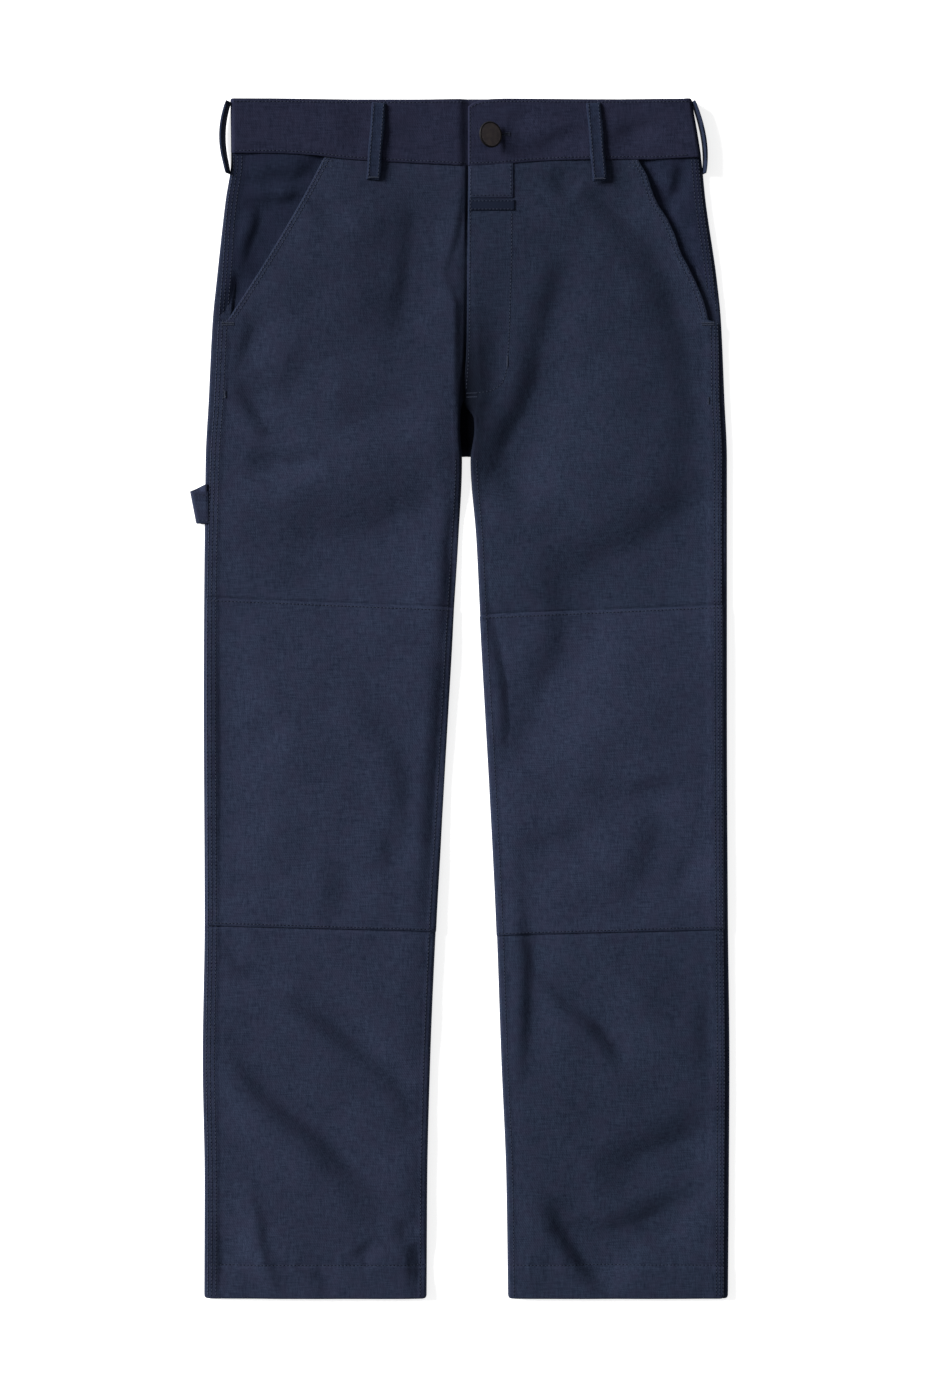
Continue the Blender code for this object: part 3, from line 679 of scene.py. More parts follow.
@dataclass(frozen=True)
class SewingThread(Speckled):
    """Spun polyester sewing thread: a little bluer than the cloth, with a slight lustre."""

    NAME: str = "polyester_sewing_thread"
    colour: str = "#1e2639"
    scale: float = 900.0
    span: tuple[float, float] = (0.3, 0.7)
    values: tuple[float, float] = (0.8, 1.2)
    roughness: float = 0.62
    specular: float = 0.35


@dataclass(frozen=True)
class NeedleHoleShadow(Speckled):
    """Painted shadow in the pit that each needle hole leaves in the cloth: almost black, matt and uneven."""

    NAME: str = "needle_hole_shadow"
    colour: str = "#0c0f18"
    scale: float = 160.0
    span: tuple[float, float] = (0.35, 0.65)
    values: tuple[float, float] = (0.7, 1.6)
    roughness: float = 1.0
    specular: float = 0.0


@dataclass(frozen=True)
class WovenTape(Finish):
    """Smooth rayon tape with fine cross ribs 0.7 mm apart, which catch a little more light than the twill."""

    NAME: str = "woven_rayon_tape"
    colour: str = "#161b29"
    rib: float = 0.7

    def fill(self, tree: bpy.types.NodeTree, shader: bpy.types.Node) -> None:
        """Sets the shader, with ribs across the tape."""
        where = add_node(tree, "TexCoord").outputs["Object"]
        scaled = add_node(tree, "Mapping", inputs={"Vector": where, "Scale": (1 / MM,) * 3}).outputs[0]
        lines = {"Vector": scaled, "Scale": WAVE_PERIODS / self.rib, "Distortion": 0.2}
        ribs = add_node(tree, "TexWave", {"bands_direction": "X"}, lines).outputs[1]
        value = add_node(tree, "MapRange", inputs={"Value": ribs, "To Min": 0.88, "To Max": 1.14}).outputs[0]
        shade = {"Color": linear(self.colour), "Value": value}
        colour = add_node(tree, "HueSaturation", inputs=shade).outputs[0]
        relief = {"Height": ribs, "Strength": 0.3, "Distance": 0.15 * MM}
        dress = {
            "Base Color": colour,
            "Normal": add_node(tree, "Bump", inputs=relief).outputs[0],
            "Roughness": 0.62,
            "Specular IOR Level": 0.12,
            "Specular Tint": linear("#8fa0c8"),
        }
        feed(shader, dress)


@dataclass(frozen=True)
class BlackenedBrass(Finish):
    """Stamped brass with a dull blackened plating, browner where handling has rubbed it."""

    NAME: str = "blackened_brass"
    colour: str = "#4b4547"
    rubbed: str = "#615755"
    roughness: float = 0.5

    def fill(self, tree: bpy.types.NodeTree, shader: bpy.types.Node) -> None:
        """Sets the shader, with fine tumbling marks in the plating."""
        where = add_node(tree, "TexCoord").outputs["Object"]
        blotch, grain = (
            add_node(tree, "TexNoise", inputs={"Vector": where, "Scale": scale, "Detail": detail}).outputs[0]
            for scale, detail in ((260.0, 4.0), (1800.0, 2.0))
        )
        share = add_node(
            tree, "MapRange", inputs={"Value": blotch, "From Min": 0.4, "From Max": 0.75, "To Max": 0.7}
        ).outputs[0]
        plated = {0: share, 6: linear(self.colour), 7: linear(self.rubbed)}
        marks = {"Height": grain, "Strength": 0.25, "Distance": 0.05 * MM}
        dress = {
            "Base Color": add_node(tree, "Mix", {"data_type": "RGBA"}, plated).outputs[2],
            "Normal": add_node(tree, "Bump", inputs=marks).outputs[0],
            "Metallic": 0.75,
            "Roughness": self.roughness,
        }
        feed(shader, dress)


@dataclass(frozen=True)
class StudioPaper(Finish):
    """Matt white background paper, lit a little from below as on a light table."""

    NAME: str = "studio_paper"
    colour: str = "#f4f4f4"
    glow: float = 0.7

    def fill(self, tree: bpy.types.NodeTree, shader: bpy.types.Node) -> None:
        """Sets the shader to plain matt white that glows."""
        dress = {
            "Emission Color": linear("#ffffff"),
            "Emission Strength": self.glow,
            "Base Color": linear(self.colour),
            "Roughness": 0.95,
            "Specular IOR Level": 0.0,
        }
        feed(shader, dress)


LEG_TWILL = NavyTwill()
# The back, rise and fly twills paint shade into their colour: near black in the fork's hole, darker down the
# rise and beside the fly.
BACK_TWILL = NavyTwill(painted_shade=0.97)
FLY_TWILL = NavyTwill("#1a1f2e", "#2a3243", painted_shade=0.94, fork=(-2.0, 268.0, 50.0, 134.0), fork_core=0.04)
RISE_TWILL = NavyTwill(painted_shade=0.8, fork=(5.0, 262.0, 14.0, 230.0), fork_core=0.02)
# The pocket facings' twill is darker: painted shade inside the pocket's mouth.
POCKET_TWILL = NavyTwill(dark="#161b2a", light="#252b3d", warm="#222235")
BAND_TWILL = NavyTwill(dark="#1a1c2c", light="#2a2d40", warm="#29283a")
LOOP_TWILL = NavyTwill(dark="#181e2d", light="#272f42", warm="#252637")
# The button's rim: a darker brass for its blackened plating, and painted shade round the cap's edge.
RIM_BRASS_AND_SHADE = BlackenedBrass("blackened_brass_rim_and_shade", "#151416", "#1f1c1c", 0.6)
THREAD = SewingThread()
HOLE_SHADOW = NeedleHoleShadow()


def mesh_object(name: str, points: Array, faces: Sequence[Sequence[int]], finish: Finish) -> bpy.types.Object:
    """Links a mesh object that rides on the garment's one body.

    Args:
        name: The piece's name.
        points: Its points in metres, one row each.
        faces: The point numbers of each face.
        finish: What it is made of.

    Returns:
        The new object.
    """
    mesh = bpy.data.meshes.new(name)
    corners = faces.tolist() if isinstance(faces, np.ndarray) else faces
    mesh.from_pydata(np.asarray(points).reshape(-1, 3).tolist(), [], corners)
    mesh.materials.append(finish.material())
    mesh.shade_smooth()
    piece = bpy.data.objects.new(name, mesh)
    bpy.context.scene.collection.objects.link(piece)
    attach(piece, BODY)
    return piece


def grid_faces(rows: int, columns: int) -> Array:
    """The quads of a grid of points, one row after another.

    Args:
        rows: How many rows of points it has.
        columns: How many points are in each.

    Returns:
        Four point numbers for each quad.
    """
    first = (np.arange(rows - 1)[:, None] * columns + np.arange(columns - 1)).ravel()
    return np.stack([first, first + 1, first + columns + 1, first + columns], axis=1)


class ClothPiece:
    """A sewn piece of cloth: one grid of points on its outer side, thickened inwards."""

    def __init__(self, node: str, slot: str, finish: Finish, wall: float) -> None:
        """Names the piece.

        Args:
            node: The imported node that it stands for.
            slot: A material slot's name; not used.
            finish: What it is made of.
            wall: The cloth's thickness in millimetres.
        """
        self.node, self.slot, self.finish, self.wall = node, slot, finish, wall

    def sew(
        self,
        points: Array,
        flat: tuple[float, float],
        area: float | None,
        rests_on: Sequence[str],
        turn: bool,
    ) -> None:
        """Args:
            points: A grid of points in metres, rows by columns by 3.
            flat: The width and length that it was cut to, in millimetres; not used.
            area: The cut's area in square millimetres where it isn't a rectangle; not used.
            rests_on: The names of what it lies on; not used.
            turn: True where the grid's faces point the wrong way.
        """
        rows, columns = points.shape[:2]
        faces = grid_faces(rows, columns)
        if turn:
            faces = faces[:, ::-1]
        piece = mesh_object(f"{self.node}_cloth", points, faces, self.finish)
        thicken = piece.modifiers.new("Cloth thickness", "SOLIDIFY")
        thicken.thickness = self.wall * MM
        thicken.offset = -1.0
        thicken.use_even_offset = True
        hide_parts(self.node)
        log.info("%s: %d points", piece.name, rows * columns)


# The rows and columns of points nearest to a folded edge, and how far the cloth has rolled down at each
EDGE = np.array([0.0, 0.35, 0.9, 1.7])
EDGE_FALL = np.array([0.85, 0.4, 0.13, 0.0])


def curl(distance: Array | float, depth: float = 1.0) -> Array:
    """How far a folded edge rolls down, by the distance in from it."""
    return depth * np.interp(distance, EDGE, EDGE_FALL)


def spaced(start: float, end: float, step: float) -> Array:
    """Even places from start to end, about a step apart."""
    return np.linspace(start, end, max(2, int(round(abs(end - start) / step)) + 1))


@dataclass
class FrontLeg:
    """A front leg panel, from under the waistband to the hem, cut away at its slanted pocket."""

    leg: Leg
    wall: float = 1.0
    plateau: float = 8.0
    inner_fold: float = 6.9
    inseam_level: float = 3.3
    inner_roll: float = 2.8
    slope_width: float = 26.0
    fork: float = 282.0
    underlap: float = 12.0
    seam_step: float = 8.8
    mesh_step: float = 3.0
    loft: float = 1.3

    @property
    def mouth_edge(self) -> float:
        """The height of the pocket's edge, which gapes on the left."""
        return 7.3 if self.leg is Leg.RIGHT else 8.8

    @property
    def outer_edge(self) -> float:
        """The height at the outseam, which lies fuller on the left."""
        return 6.3 if self.leg is Leg.RIGHT else 7.4

    @property
    def seam_fade(self) -> float:
        """How far the felled seam's thickness takes to fade into the leg."""
        return 2.4 if self.leg is Leg.RIGHT else 7.0

    def below_fly(self, drop: Array) -> Array:
        """0 beside the fly and 1 where the leg has its own inner side."""
        return ease((drop - self.fork + 18.0) / 18.0)

    def start_x(self, drop: Array) -> Array:
        """The outer end: the pocket's mouth above, and the outseam below it."""
        seam = PATTERN.outseam(self.leg, drop)
        mouth = PATTERN.mouth(self.leg, drop)
        return mix(mouth, seam, ease((drop - PATTERN.POCKET_END) / 2.4))

    def end_x(self, drop: Array) -> Array:
        """The inner end: the fly's edge or underlap above, and the leg's inner side below."""
        fly = PATTERN.FLY(drop)
        if self.leg is Leg.RIGHT:
            fly = fly + mix(self.underlap, 0.0, ease((drop - 225.0) / 50.0))
        return mix(fly, PATTERN.inner(self.leg, drop), self.below_fly(drop))

    def height(self, x: Array, drop: Array) -> Array:
        """The height of the cloth's outer side, away from its rolled inner end.

        Args:
            x: Distances across.
            drop: Drops, in the same shape.

        Returns:
            Heights above the floor.
        """
        leg = self.leg
        in_leg = PATTERN.in_leg(drop)
        from_seam = leg.past(PATTERN.outseam(leg, drop), x)
        from_mouth = leg.past(PATTERN.mouth(leg, drop), x)
        from_inner = leg.past(x, PATTERN.inner(leg, drop))
        from_waist = np.maximum(0.0, drop - PATTERN.waist_seam(x))
        top = self.plateau + self.loft * ease(from_waist / 60.0) * ease(from_seam / 90.0)
        outer_slope = in_leg * nearness(from_seam, 80.0)
        mouth_slope = (1.0 - in_leg) * nearness(from_mouth, 34.0)
        inner_slope = self.below_fly(drop) * nearness(from_inner, self.slope_width)
        z = top - outer_slope * (top - self.outer_edge) - mouth_slope * (top - self.mouth_edge)
        z = z - inner_slope * (top - self.inner_fold) - 0.4 * np.exp(-from_waist / 12.0)
        z = z - 0.6 * np.exp(-from_waist / 3.0) - self.patch_groove(x, drop)
        calm = (1.0 - 0.7 * in_leg * nearness(from_seam, 46.0)) * (1.0 - 0.8 * np.exp(-from_waist / 14.0))
        calm = calm * (1.0 - 0.85 * (1.0 - in_leg) * nearness(from_mouth, 30.0))
        sunk = sum(crease.sink(x, drop) for crease in CREASES[leg])
        z = z + calm * (0.45 * swell(x, drop, 1.7 * leg.inwards) - sunk)
        z = z + self.seam_relief(x, drop, from_seam, from_inner, from_waist, in_leg)
        z = z - (self.fly_step(x, drop) if leg is Leg.RIGHT else self.crotch_valley(x, drop))
        return kept_above(z, 4.2, 1.5)

    def seam_relief(
        self, x: Array, drop: Array, from_seam: Array, from_inner: Array, from_waist: Array, in_leg: Array
    ) -> Array:
        """The thicker felled seam and hem, and the puckers beside the stitches.

        Args:
            x: Distances across.
            drop: Drops.
            from_seam: Distances in from the outseam.
            from_inner: Distances out from the inner end.
            from_waist: Distances down from the waistband's seam.
            in_leg: 0 beside the pocket and 1 below it.

        Returns:
            Heights to add.
        """
        felled = 0.4 * in_leg * (1.0 - ease((from_seam - self.seam_step) / self.seam_fade))
        inseam = 0.25 * self.below_fly(drop) * (1.0 - ease((from_inner - 6.2) / 2.0))
        past_hem = drop - PATTERN.HEM_STITCH
        hem = 0.45 * ease((past_hem - 0.6) / 2.2) - 0.3 * bell(past_hem, 1.6)
        outseam_pucker = 0.16 * in_leg * ripple(drop, 0.0) * np.exp(-from_seam / 11.0)
        inseam_pucker = 0.13 * self.below_fly(drop) * ripple(drop, 2.0) * np.exp(-from_inner / 9.0)
        waist_pucker = 0.15 * ripple(x, 1.0) * np.exp(-from_waist / 9.0)
        hem_pucker = 0.2 * ripple(x, 0.6 + self.leg.inwards) * bell(drop - PATTERN.HEM_STITCH, 9.0)
        return felled + inseam + hem + outseam_pucker + inseam_pucker + waist_pucker + hem_pucker

    def patch_groove(self, x: Array, drop: Array) -> Array:
        """How far the stitches of the knee patch draw the cloth down just outside its two edges."""
        outer, inner = PATTERN.outseam(self.leg, drop), PATTERN.inner(self.leg, drop)
        share = np.clip((x - outer) / (inner - outer), 0.0, 1.0)
        top_outer, top_inner, bottom_outer, bottom_inner = PATTERN.PATCH[self.leg]
        above = drop - mix(top_outer, top_inner, share)
        below = drop - mix(bottom_outer, bottom_inner, share)
        return 0.8 * bell(above + 0.4, 1.3) + 0.4 * bell(below - 0.4, 1.3)

    def crotch_valley(self, x: Array, drop: Array) -> Array:
        """How far the left front dips into the fork, from the ridge beside it down to the crotch seam.

        Args:
            x: Distances across.
            drop: Drops.

        Returns:
            Depths in millimetres.
        """
        drops = [150.0, 200.0, 230.0, 248.0, 262.0, 272.0, 283.0]
        ridge = np.interp(drop, drops, [12.0, 17.0, 18.0, 19.0, 22.0, 17.5, 13.0])
        end = self.end_x(drop)
        share = np.clip((ridge - x) / np.maximum(ridge - end, 3.0), 0.0, 1.0)
        depth = np.interp(drop, [130.0, 200.0, 240.0, 262.0, 280.0, 296.0], [0.0, 1.3, 3.2, 5.4, 5.0, 0.0])
        return depth * ease(share)

    def fly_step(self, x: Array, drop: Array) -> Array:
        """How far the right front steps down to pass under the fly, past a shoulder that bows out beside it.

        Args:
            x: Distances across.
            drop: Drops.

        Returns:
            Depths in millimetres.
        """
        drops = [60.0, 98.0, 120.0, 136.0, 152.0, 168.0, 180.0, 243.0, 270.0]
        shoulder = np.interp(drop, drops, [4.0, -1.0, -5.0, -9.0, -14.0, -9.0, -4.0, -4.0, -3.0])
        depth = np.interp(drop, [52.0, 84.0, 104.0, 220.0, 262.0, 284.0], [2.4, 2.8, 4.6, 5.2, 5.0, 0.0])
        at_edge = ease((x - PATTERN.FLY(drop) + 3.0) / 3.2)
        return depth * (0.42 * ease((x - shoulder + 2.0) / 8.0) + 0.58 * at_edge)

    def rest(self, drop: Array) -> Array:
        """The height at which the inner end meets the back."""
        return mix(1.4, self.inseam_level + 0.1, PATTERN.inseam_lift(drop))

    def columns(self) -> list[tuple[str, float]]:
        """The places across the panel, each a part of its section and how far along that part it is.

        Returns:
            Pairs of a part's name and a distance or share.
        """
        near = [0.0, 0.35, 0.9, 1.7, 2.8, 4.0, 5.2, 6.6, 7.8, 8.8, 9.8, 11.2, 13.0, 15.0]
        across = 228.0 - near[-1] - 8.0
        places = [("edge", distance) for distance in near]
        places += [("plateau", share) for share in spaced(0.0, 0.89, self.mesh_step / across)[1:]]
        places += [("plateau", share) for share in spaced(0.89, 1.0, 1.15 / across)[1:]]
        places += [("roll", share) for share in np.linspace(0.0, 1.0, 9)[1:]]
        return places

    def column(self, place_across: tuple[str, float], drop: Array) -> tuple[Array, Array]:
        """One line of points down the panel.

        Args:
            place_across: A pair from columns().
            drop: The drop of each point.

        Returns:
            The distance across and the height of each point.
        """
        part, at = place_across
        inwards, roll = self.leg.inwards, self.below_fly(drop)
        start, end = self.start_x(drop), self.end_x(drop)
        last = end - inwards * (self.inner_roll + 0.5)
        if part == "edge":
            x = start + inwards * at
            return x, self.height(x, drop) - curl(at)
        if part == "plateau":
            x = mix(start + inwards * 15.0, last, at)
            return x, self.height(x, drop)
        turn = math.pi / 2 * at
        inset = self.inner_roll * (1.0 - math.sin(turn)) + 0.5 * max(0.0, 1.0 - 4 * at)
        fold_x = end - inwards * inset
        fold_z = mix(self.rest(drop), self.height(last, drop), math.cos(turn))
        flat_x = mix(last, end, at)
        flat_z = self.height(flat_x, drop) - curl((1.0 - at) * (self.inner_roll + 0.5))
        return mix(flat_x, fold_x, roll), mix(flat_z, fold_z, roll)

    def drops(self) -> Array:
        """The rows of the panel, closer together at the crotch, the hem stitches and the hem's edge."""
        length = PATTERN.LENGTH
        parts = (
            np.arange(0.0, 190.0, self.mesh_step),
            np.arange(190.0, 201.0, 1.2),
            np.arange(202.0, 330.0, 2.4),
            np.arange(330.0, 435.0, self.mesh_step),
            np.arange(436.0, 458.0, 0.9),
            np.arange(459.0, 724.0, self.mesh_step),
            np.arange(725.0, 739.0, 0.9),
            np.arange(741.0, 1022.0, self.mesh_step),
            np.arange(1023.0, 1034.0, 1.2),
            np.arange(1036.0, length - 3.0, 3.0),
            np.array([length - 2.6, length - 1.7, length - 0.9, length - 0.35, length]),
        )
        return np.concatenate(parts)

    def sew(self) -> None:
        """Makes the panel. Its top rows lie under the waistband and follow its seam."""
        drops = self.drops()
        grid = []
        for place_across in self.columns():
            guess, _ = self.column(place_across, np.maximum(drops, PATTERN.BAND_SIDE))
            top = PATTERN.waist_seam(guess) - 5.0
            lowered = np.where(drops < 112.0, top + (112.0 - top) * drops / 112.0, drops)
            x, z = self.column(place_across, lowered)
            grid.append(place(x, lowered, z - curl(PATTERN.LENGTH - lowered)))
        points = np.stack(grid, axis=1)
        finish = RISE_TWILL if self.leg is Leg.RIGHT else FLY_TWILL
        piece = ClothPiece(f"front_{self.leg.side}", "navy_twill", finish, self.wall)
        piece.sew(points, (262.0, 1040.0), 218000.0, [f"back_{self.leg.side}_cloth"], self.leg is Leg.RIGHT)


@dataclass
class BackLeg:
    """A back leg panel, flat on the floor, with its outer side turned up and over under the front."""

    leg: Leg
    wall: float = 1.0
    inseam_level: float = 3.3
    inner_roll: float = 2.8
    lip: float = 15.0

    def section(self, drop: Array) -> list[tuple[Array, Array]]:
        """The points across the panel at each drop, from its inner end to the lip under the front.

        Args:
            drop: The drop of each row.

        Returns:
            Pairs of distance across and height, from the inner end outwards.
        """
        inwards = self.leg.inwards
        lift = PATTERN.inseam_lift(drop)
        end = np.where(drop > PATTERN.CROTCH, PATTERN.inner(self.leg, drop), PATTERN.CENTRE_BACK)
        radius = PATTERN.fold_top(drop) / 2
        outer = PATTERN.outer(self.leg, drop)
        places = []
        for share in np.linspace(0.0, 1.0, 8):
            turn = math.pi / 2 * (1.0 - share)
            fold_x = end - inwards * self.inner_roll * (1.0 - math.sin(turn))
            fold_z = self.inseam_level * (1.0 - math.cos(turn))
            flat_x = end - inwards * self.inner_roll * share
            places.append((mix(flat_x, fold_x, lift), lift * fold_z))
        start, stop = end - inwards * self.inner_roll, outer + inwards * radius
        for share in np.linspace(0.0, 1.0, 25)[1:-1]:
            places.append((mix(start, stop, share), np.zeros_like(drop)))
        for turn in np.linspace(0.0, math.pi, 15):
            places.append((stop - inwards * radius * math.sin(turn), radius * (1.0 - math.cos(turn))))
        pucker = 0.14 * ripple(drop, 0.0)
        for share in np.linspace(0.0, 1.0, 7)[1:]:
            away = share * self.lip
            places.append((stop + inwards * away, 2 * radius - 0.5 * share**2 + pucker * (1 - share)))
        return places

    def sew(self) -> None:
        """Makes the panel, its top rows under the waistband's back half."""
        length = PATTERN.LENGTH
        drops = np.concatenate(
            [
                np.arange(44.0, 312.0, 5.0),
                [PATTERN.CROTCH - 0.1, PATTERN.CROTCH + 0.1],
                np.arange(318.0, length - 4.0, 6.0),
                [length - 2.6, length - 1.7, length - 0.9, length - 0.35, length],
            ]
        )
        points = np.stack([place(x, drops, z) for x, z in self.section(drops)], axis=1)
        piece = ClothPiece(f"back_{self.leg.side}", "navy_twill", BACK_TWILL, self.wall)
        piece.sew(points, (280.0, 1040.0), 248000.0, ["floor"], self.leg is Leg.RIGHT)


@dataclass
class PocketFacing:
    """The side panel seen in the pocket's mouth, from the outseam to under the front's slanted edge."""

    leg: Leg
    wall: float = 0.9
    under: float = 12.0

    def height(self, x: Array, drop: Array) -> Array:
        """The height of the cloth's outer side.

        Args:
            x: Distances across.
            drop: Drops, in the same shape.

        Returns:
            Heights above the floor.
        """
        from_seam = self.leg.past(PATTERN.outseam(self.leg, drop), x)
        to_mouth = self.leg.past(x, PATTERN.mouth(self.leg, drop))
        from_waist = np.maximum(0.0, drop - PATTERN.waist_seam(x))
        z = 5.9 + 0.9 * ease((from_seam - 9.0) / 18.0) - 2.6 * (1.0 - ease(to_mouth / 22.0))
        z = z + 0.15 * ripple(drop, 0.0) * np.exp(-from_seam / 11.0)
        z = z + 0.12 * ripple(x, 1.0) * np.exp(-from_waist / 9.0)
        felled = 0.3 * (1.0 - ease((from_seam - 8.8) / (2.4 if self.leg is Leg.RIGHT else 9.0)))
        sunk = sum(crease.sink(x, drop) for crease in FACING_CREASES[self.leg])
        calm = ease(from_seam / 14.0)
        z = z + felled + 0.2 * np.exp(-from_waist / 12.0) - calm * sunk + 0.15 * calm * swell(x, drop, 0.5)
        return kept_above(z, 4.0, 1.3)

    def sew(self) -> None:
        """Makes the panel, its top rows under the waistband."""
        leg, inwards = self.leg, self.leg.inwards
        rows = np.linspace(0.0, 1.0, 62)
        columns = np.concatenate([[0.0, 0.004, 0.01, 0.02], np.linspace(0.035, 1.0, 38)])
        grid = []
        for share in columns:
            drop = 44.0 + (PATTERN.POCKET_END + 3.0 - 44.0) * rows
            start = PATTERN.outseam(leg, drop)
            end = PATTERN.mouth(leg, drop) + inwards * self.under
            x = mix(start, end, share)
            near = np.maximum(0.0, 1.0 - rows * 2.2)
            lowered = drop + near * (PATTERN.waist_seam(x) - PATTERN.BAND_SIDE)
            dip = 0.4 * ease((PATTERN.mouth(leg, lowered) - x) * -inwards / 4.0)
            z = self.height(x, lowered) - curl(np.abs(x - start)) - dip
            grid.append(place(x, lowered, z))
        points = np.stack(grid, axis=1)
        piece = ClothPiece(f"pocket_facing_{leg.side}", "navy_twill", POCKET_TWILL, self.wall)
        size = (118.0, 155.0) if leg is Leg.RIGHT else (92.0, 155.0)
        area = 9700.0 if leg is Leg.RIGHT else 7000.0
        piece.sew(points, size, area, [f"back_{leg.side}_cloth"], leg is Leg.RIGHT)


@dataclass
class KneePatch:
    """The second layer over the knee, sewn into both of the leg's seams and stitched above and below."""

    front: FrontLeg
    wall: float = 0.9
    out: float = 1.0

    def edges(self, share: Array) -> tuple[Array, Array]:
        """The drops of its upper and lower edges at a share of the way from outseam to inseam."""
        top_outer, top_inner, bottom_outer, bottom_inner = PATTERN.PATCH[self.front.leg]
        return mix(top_outer, top_inner, share), mix(bottom_outer, bottom_inner, share)

    def sew(self) -> None:
        """Makes the patch from the front's own places, moved out."""
        leg = self.front.leg
        middle = spaced(0.012, 0.988, 3.0 / 290.0)
        rows = np.concatenate([[0.0, 0.0012, 0.003, 0.006], middle, [0.994, 0.997, 0.9988, 1.0]])
        places = self.front.columns()
        places = [spot for spot in places if spot[0] != "roll" or spot[1] < 0.72]
        grid = []
        for number, spot in enumerate(places):
            top, bottom = self.edges(number / (len(places) - 1))
            drop = mix(top, bottom, rows)
            x, z = self.front.column(spot, drop)
            ahead, ahead_z = self.front.column(places[min(number + 1, len(places) - 1)], drop)
            behind, behind_z = self.front.column(places[max(number - 1, 0)], drop)
            run, rise = ahead - behind, ahead_z - behind_z
            size = np.hypot(run, rise)
            out = self.out - curl(np.minimum(drop - top, bottom - drop), 0.8)
            side = -out * rise / size * np.sign(run)
            z = z + out * np.abs(run) / size
            grid.append(place(x + side, drop, z))
        points = np.stack(grid, axis=1)
        piece = ClothPiece(f"knee_patch_{leg.side}", "navy_twill", LEG_TWILL, self.wall)
        piece.sew(points, (214.0, 292.0), None, [f"front_{leg.side}_cloth"], leg is Leg.RIGHT)


@dataclass
class Waistband:
    """One long doubled band round the waist, its left end lapping over its right end above the fly."""

    wall: float = 1.5
    top: float = 8.5
    under_top: float = 6.0
    across_step: float = 3.0

    def top_drop(self, x: Array, over: bool) -> Array:
        """The drop of its upper edge, which dips beside the middle and is rounded at the overlap's end."""
        if over:
            dip = np.interp(x, [7.0, 40.0, 100.0, 140.0, 172.0, 200.0], [0.6, 0.2, 0.7, 0.9, 0.5, 0.3])
            return dip + 7.0 * np.exp(-(x - PATTERN.OVERLAP_END) / 7.0)
        return np.interp(x, [-200.0, -165.0, -128.0, -92.0, -40.0, 7.0], [0.0, 0.1, 0.6, 1.1, 1.1, 0.5])

    def height(self, x: Array, drop: Array, over: bool) -> Array:
        """The height of the outer side on the front.

        Args:
            x: Distances across.
            drop: Drops, in the same shape.
            over: True for the left half, which laps over.

        Returns:
            Heights above the floor.
        """
        up, down = drop - self.top_drop(x, over), PATTERN.waist_seam(x) - drop
        z = self.top + 0.2 * np.sin(np.pi * np.clip(up / 50.0, 0.0, 1.0)) + 0.18 * swell(x, 2.5 * drop, 0.2)
        z = z + 0.14 * ripple(x, 1.0) * np.exp(-np.abs(down) / 7.0)
        z = z + 0.1 * ripple(x, 2.6) * np.exp(-np.abs(up) / 7.0)
        z = z - sum(crease.sink(x, drop) for crease in BAND_CREASES)
        return z if over else mix(z, self.under_top, ease(x / 6.0))

    def path(self) -> list[tuple[float, float, float, str]]:
        """The band's way round, from its over end to its under end.

        Returns:
            For each place, the distance across, a height that the back and sides have, how far it follows the
            outline, and the stretch it is on.
        """
        radius = self.top / 2
        left = float(PATTERN.outer(Leg.LEFT, 0.0)) - radius
        right = float(PATTERN.outer(Leg.RIGHT, 0.0)) + radius
        half = PATTERN.BAND_HALF
        places = []
        overlap = [7.0, 7.35, 7.9, 8.7, 10.0, 12.0]
        for x in [*overlap, *spaced(14.5, left, self.across_step)[:-1]]:
            places.append((x, 0.0, max(0.0, x / half) ** 2, "over"))
        for turn in np.linspace(0.0, math.pi, 15):
            places.append((left + radius * math.sin(turn), radius * (1 + math.cos(turn)), 1.0, "left"))
        for x in spaced(left, right, 9.0)[1:-1]:
            places.append((x, 0.0, math.copysign(min(1.0, abs(x) / half) ** 2, x), "back"))
        for turn in np.linspace(0.0, math.pi, 15):
            places.append((right - radius * math.sin(turn), radius * (1 - math.cos(turn)), -1.0, "right"))
        for x in spaced(right, PATTERN.UNDERLAP_END, self.across_step)[1:]:
            places.append((x, 0.0, -max(0.0, -x / half) ** 2, "under"))
        return places

    def sew(self) -> None:
        """Makes the band."""
        height = 56.0
        rows = np.concatenate([EDGE, spaced(3.5, height - 3.5, 3.0), height - EDGE[::-1]])
        rows = rows / height
        grid = []
        for x, z, follow, stretch in self.path():
            leg = Leg.RIGHT if follow < 0 else Leg.LEFT
            spread = float(PATTERN.outer(leg, PATTERN.BAND_SIDE) - PATTERN.outer(leg, 0.0))
            foot = x + spread * abs(follow)
            over = stretch in ("over", "left")
            top = float(self.top_drop(x, over)) if stretch in ("over", "under") else 0.0
            bottom = float(PATTERN.waist_seam(foot)) + 0.4
            drop = mix(top, bottom, rows)
            place_x = x + (PATTERN.outer(leg, drop) - PATTERN.outer(leg, 0.0)) * abs(follow)
            ends = curl(np.minimum(drop - top, bottom - drop), 0.9)
            if stretch in ("over", "under"):
                side = ease((abs(x - PATTERN.OVERLAP_END) - 150.0) / 40.0)
                own = self.height(place_x, drop, over)
                level = mix(own, self.top, side) - ends
                if stretch == "over":
                    level = level - curl(x - PATTERN.OVERLAP_END, 0.9)
            elif stretch == "back":
                level = np.zeros_like(drop)
            else:
                inwards = ends * (1.0 if stretch == "left" else -1.0)
                share = math.sin(math.pi * min(1.0, max(0.0, z / self.top)))
                place_x = place_x - inwards * 0.8 * share
                level = z - ends * max(0.0, z / self.top * 2 - 1)
            grid.append(place(place_x, drop, level))
        points = np.stack(grid, axis=1)
        ClothPiece("waistband", "waistband_twill", BAND_TWILL, self.wall).sew(
            points, (875.0, 56.0), 46500.0, ["front_right_cloth", "front_left_cloth"], True
        )


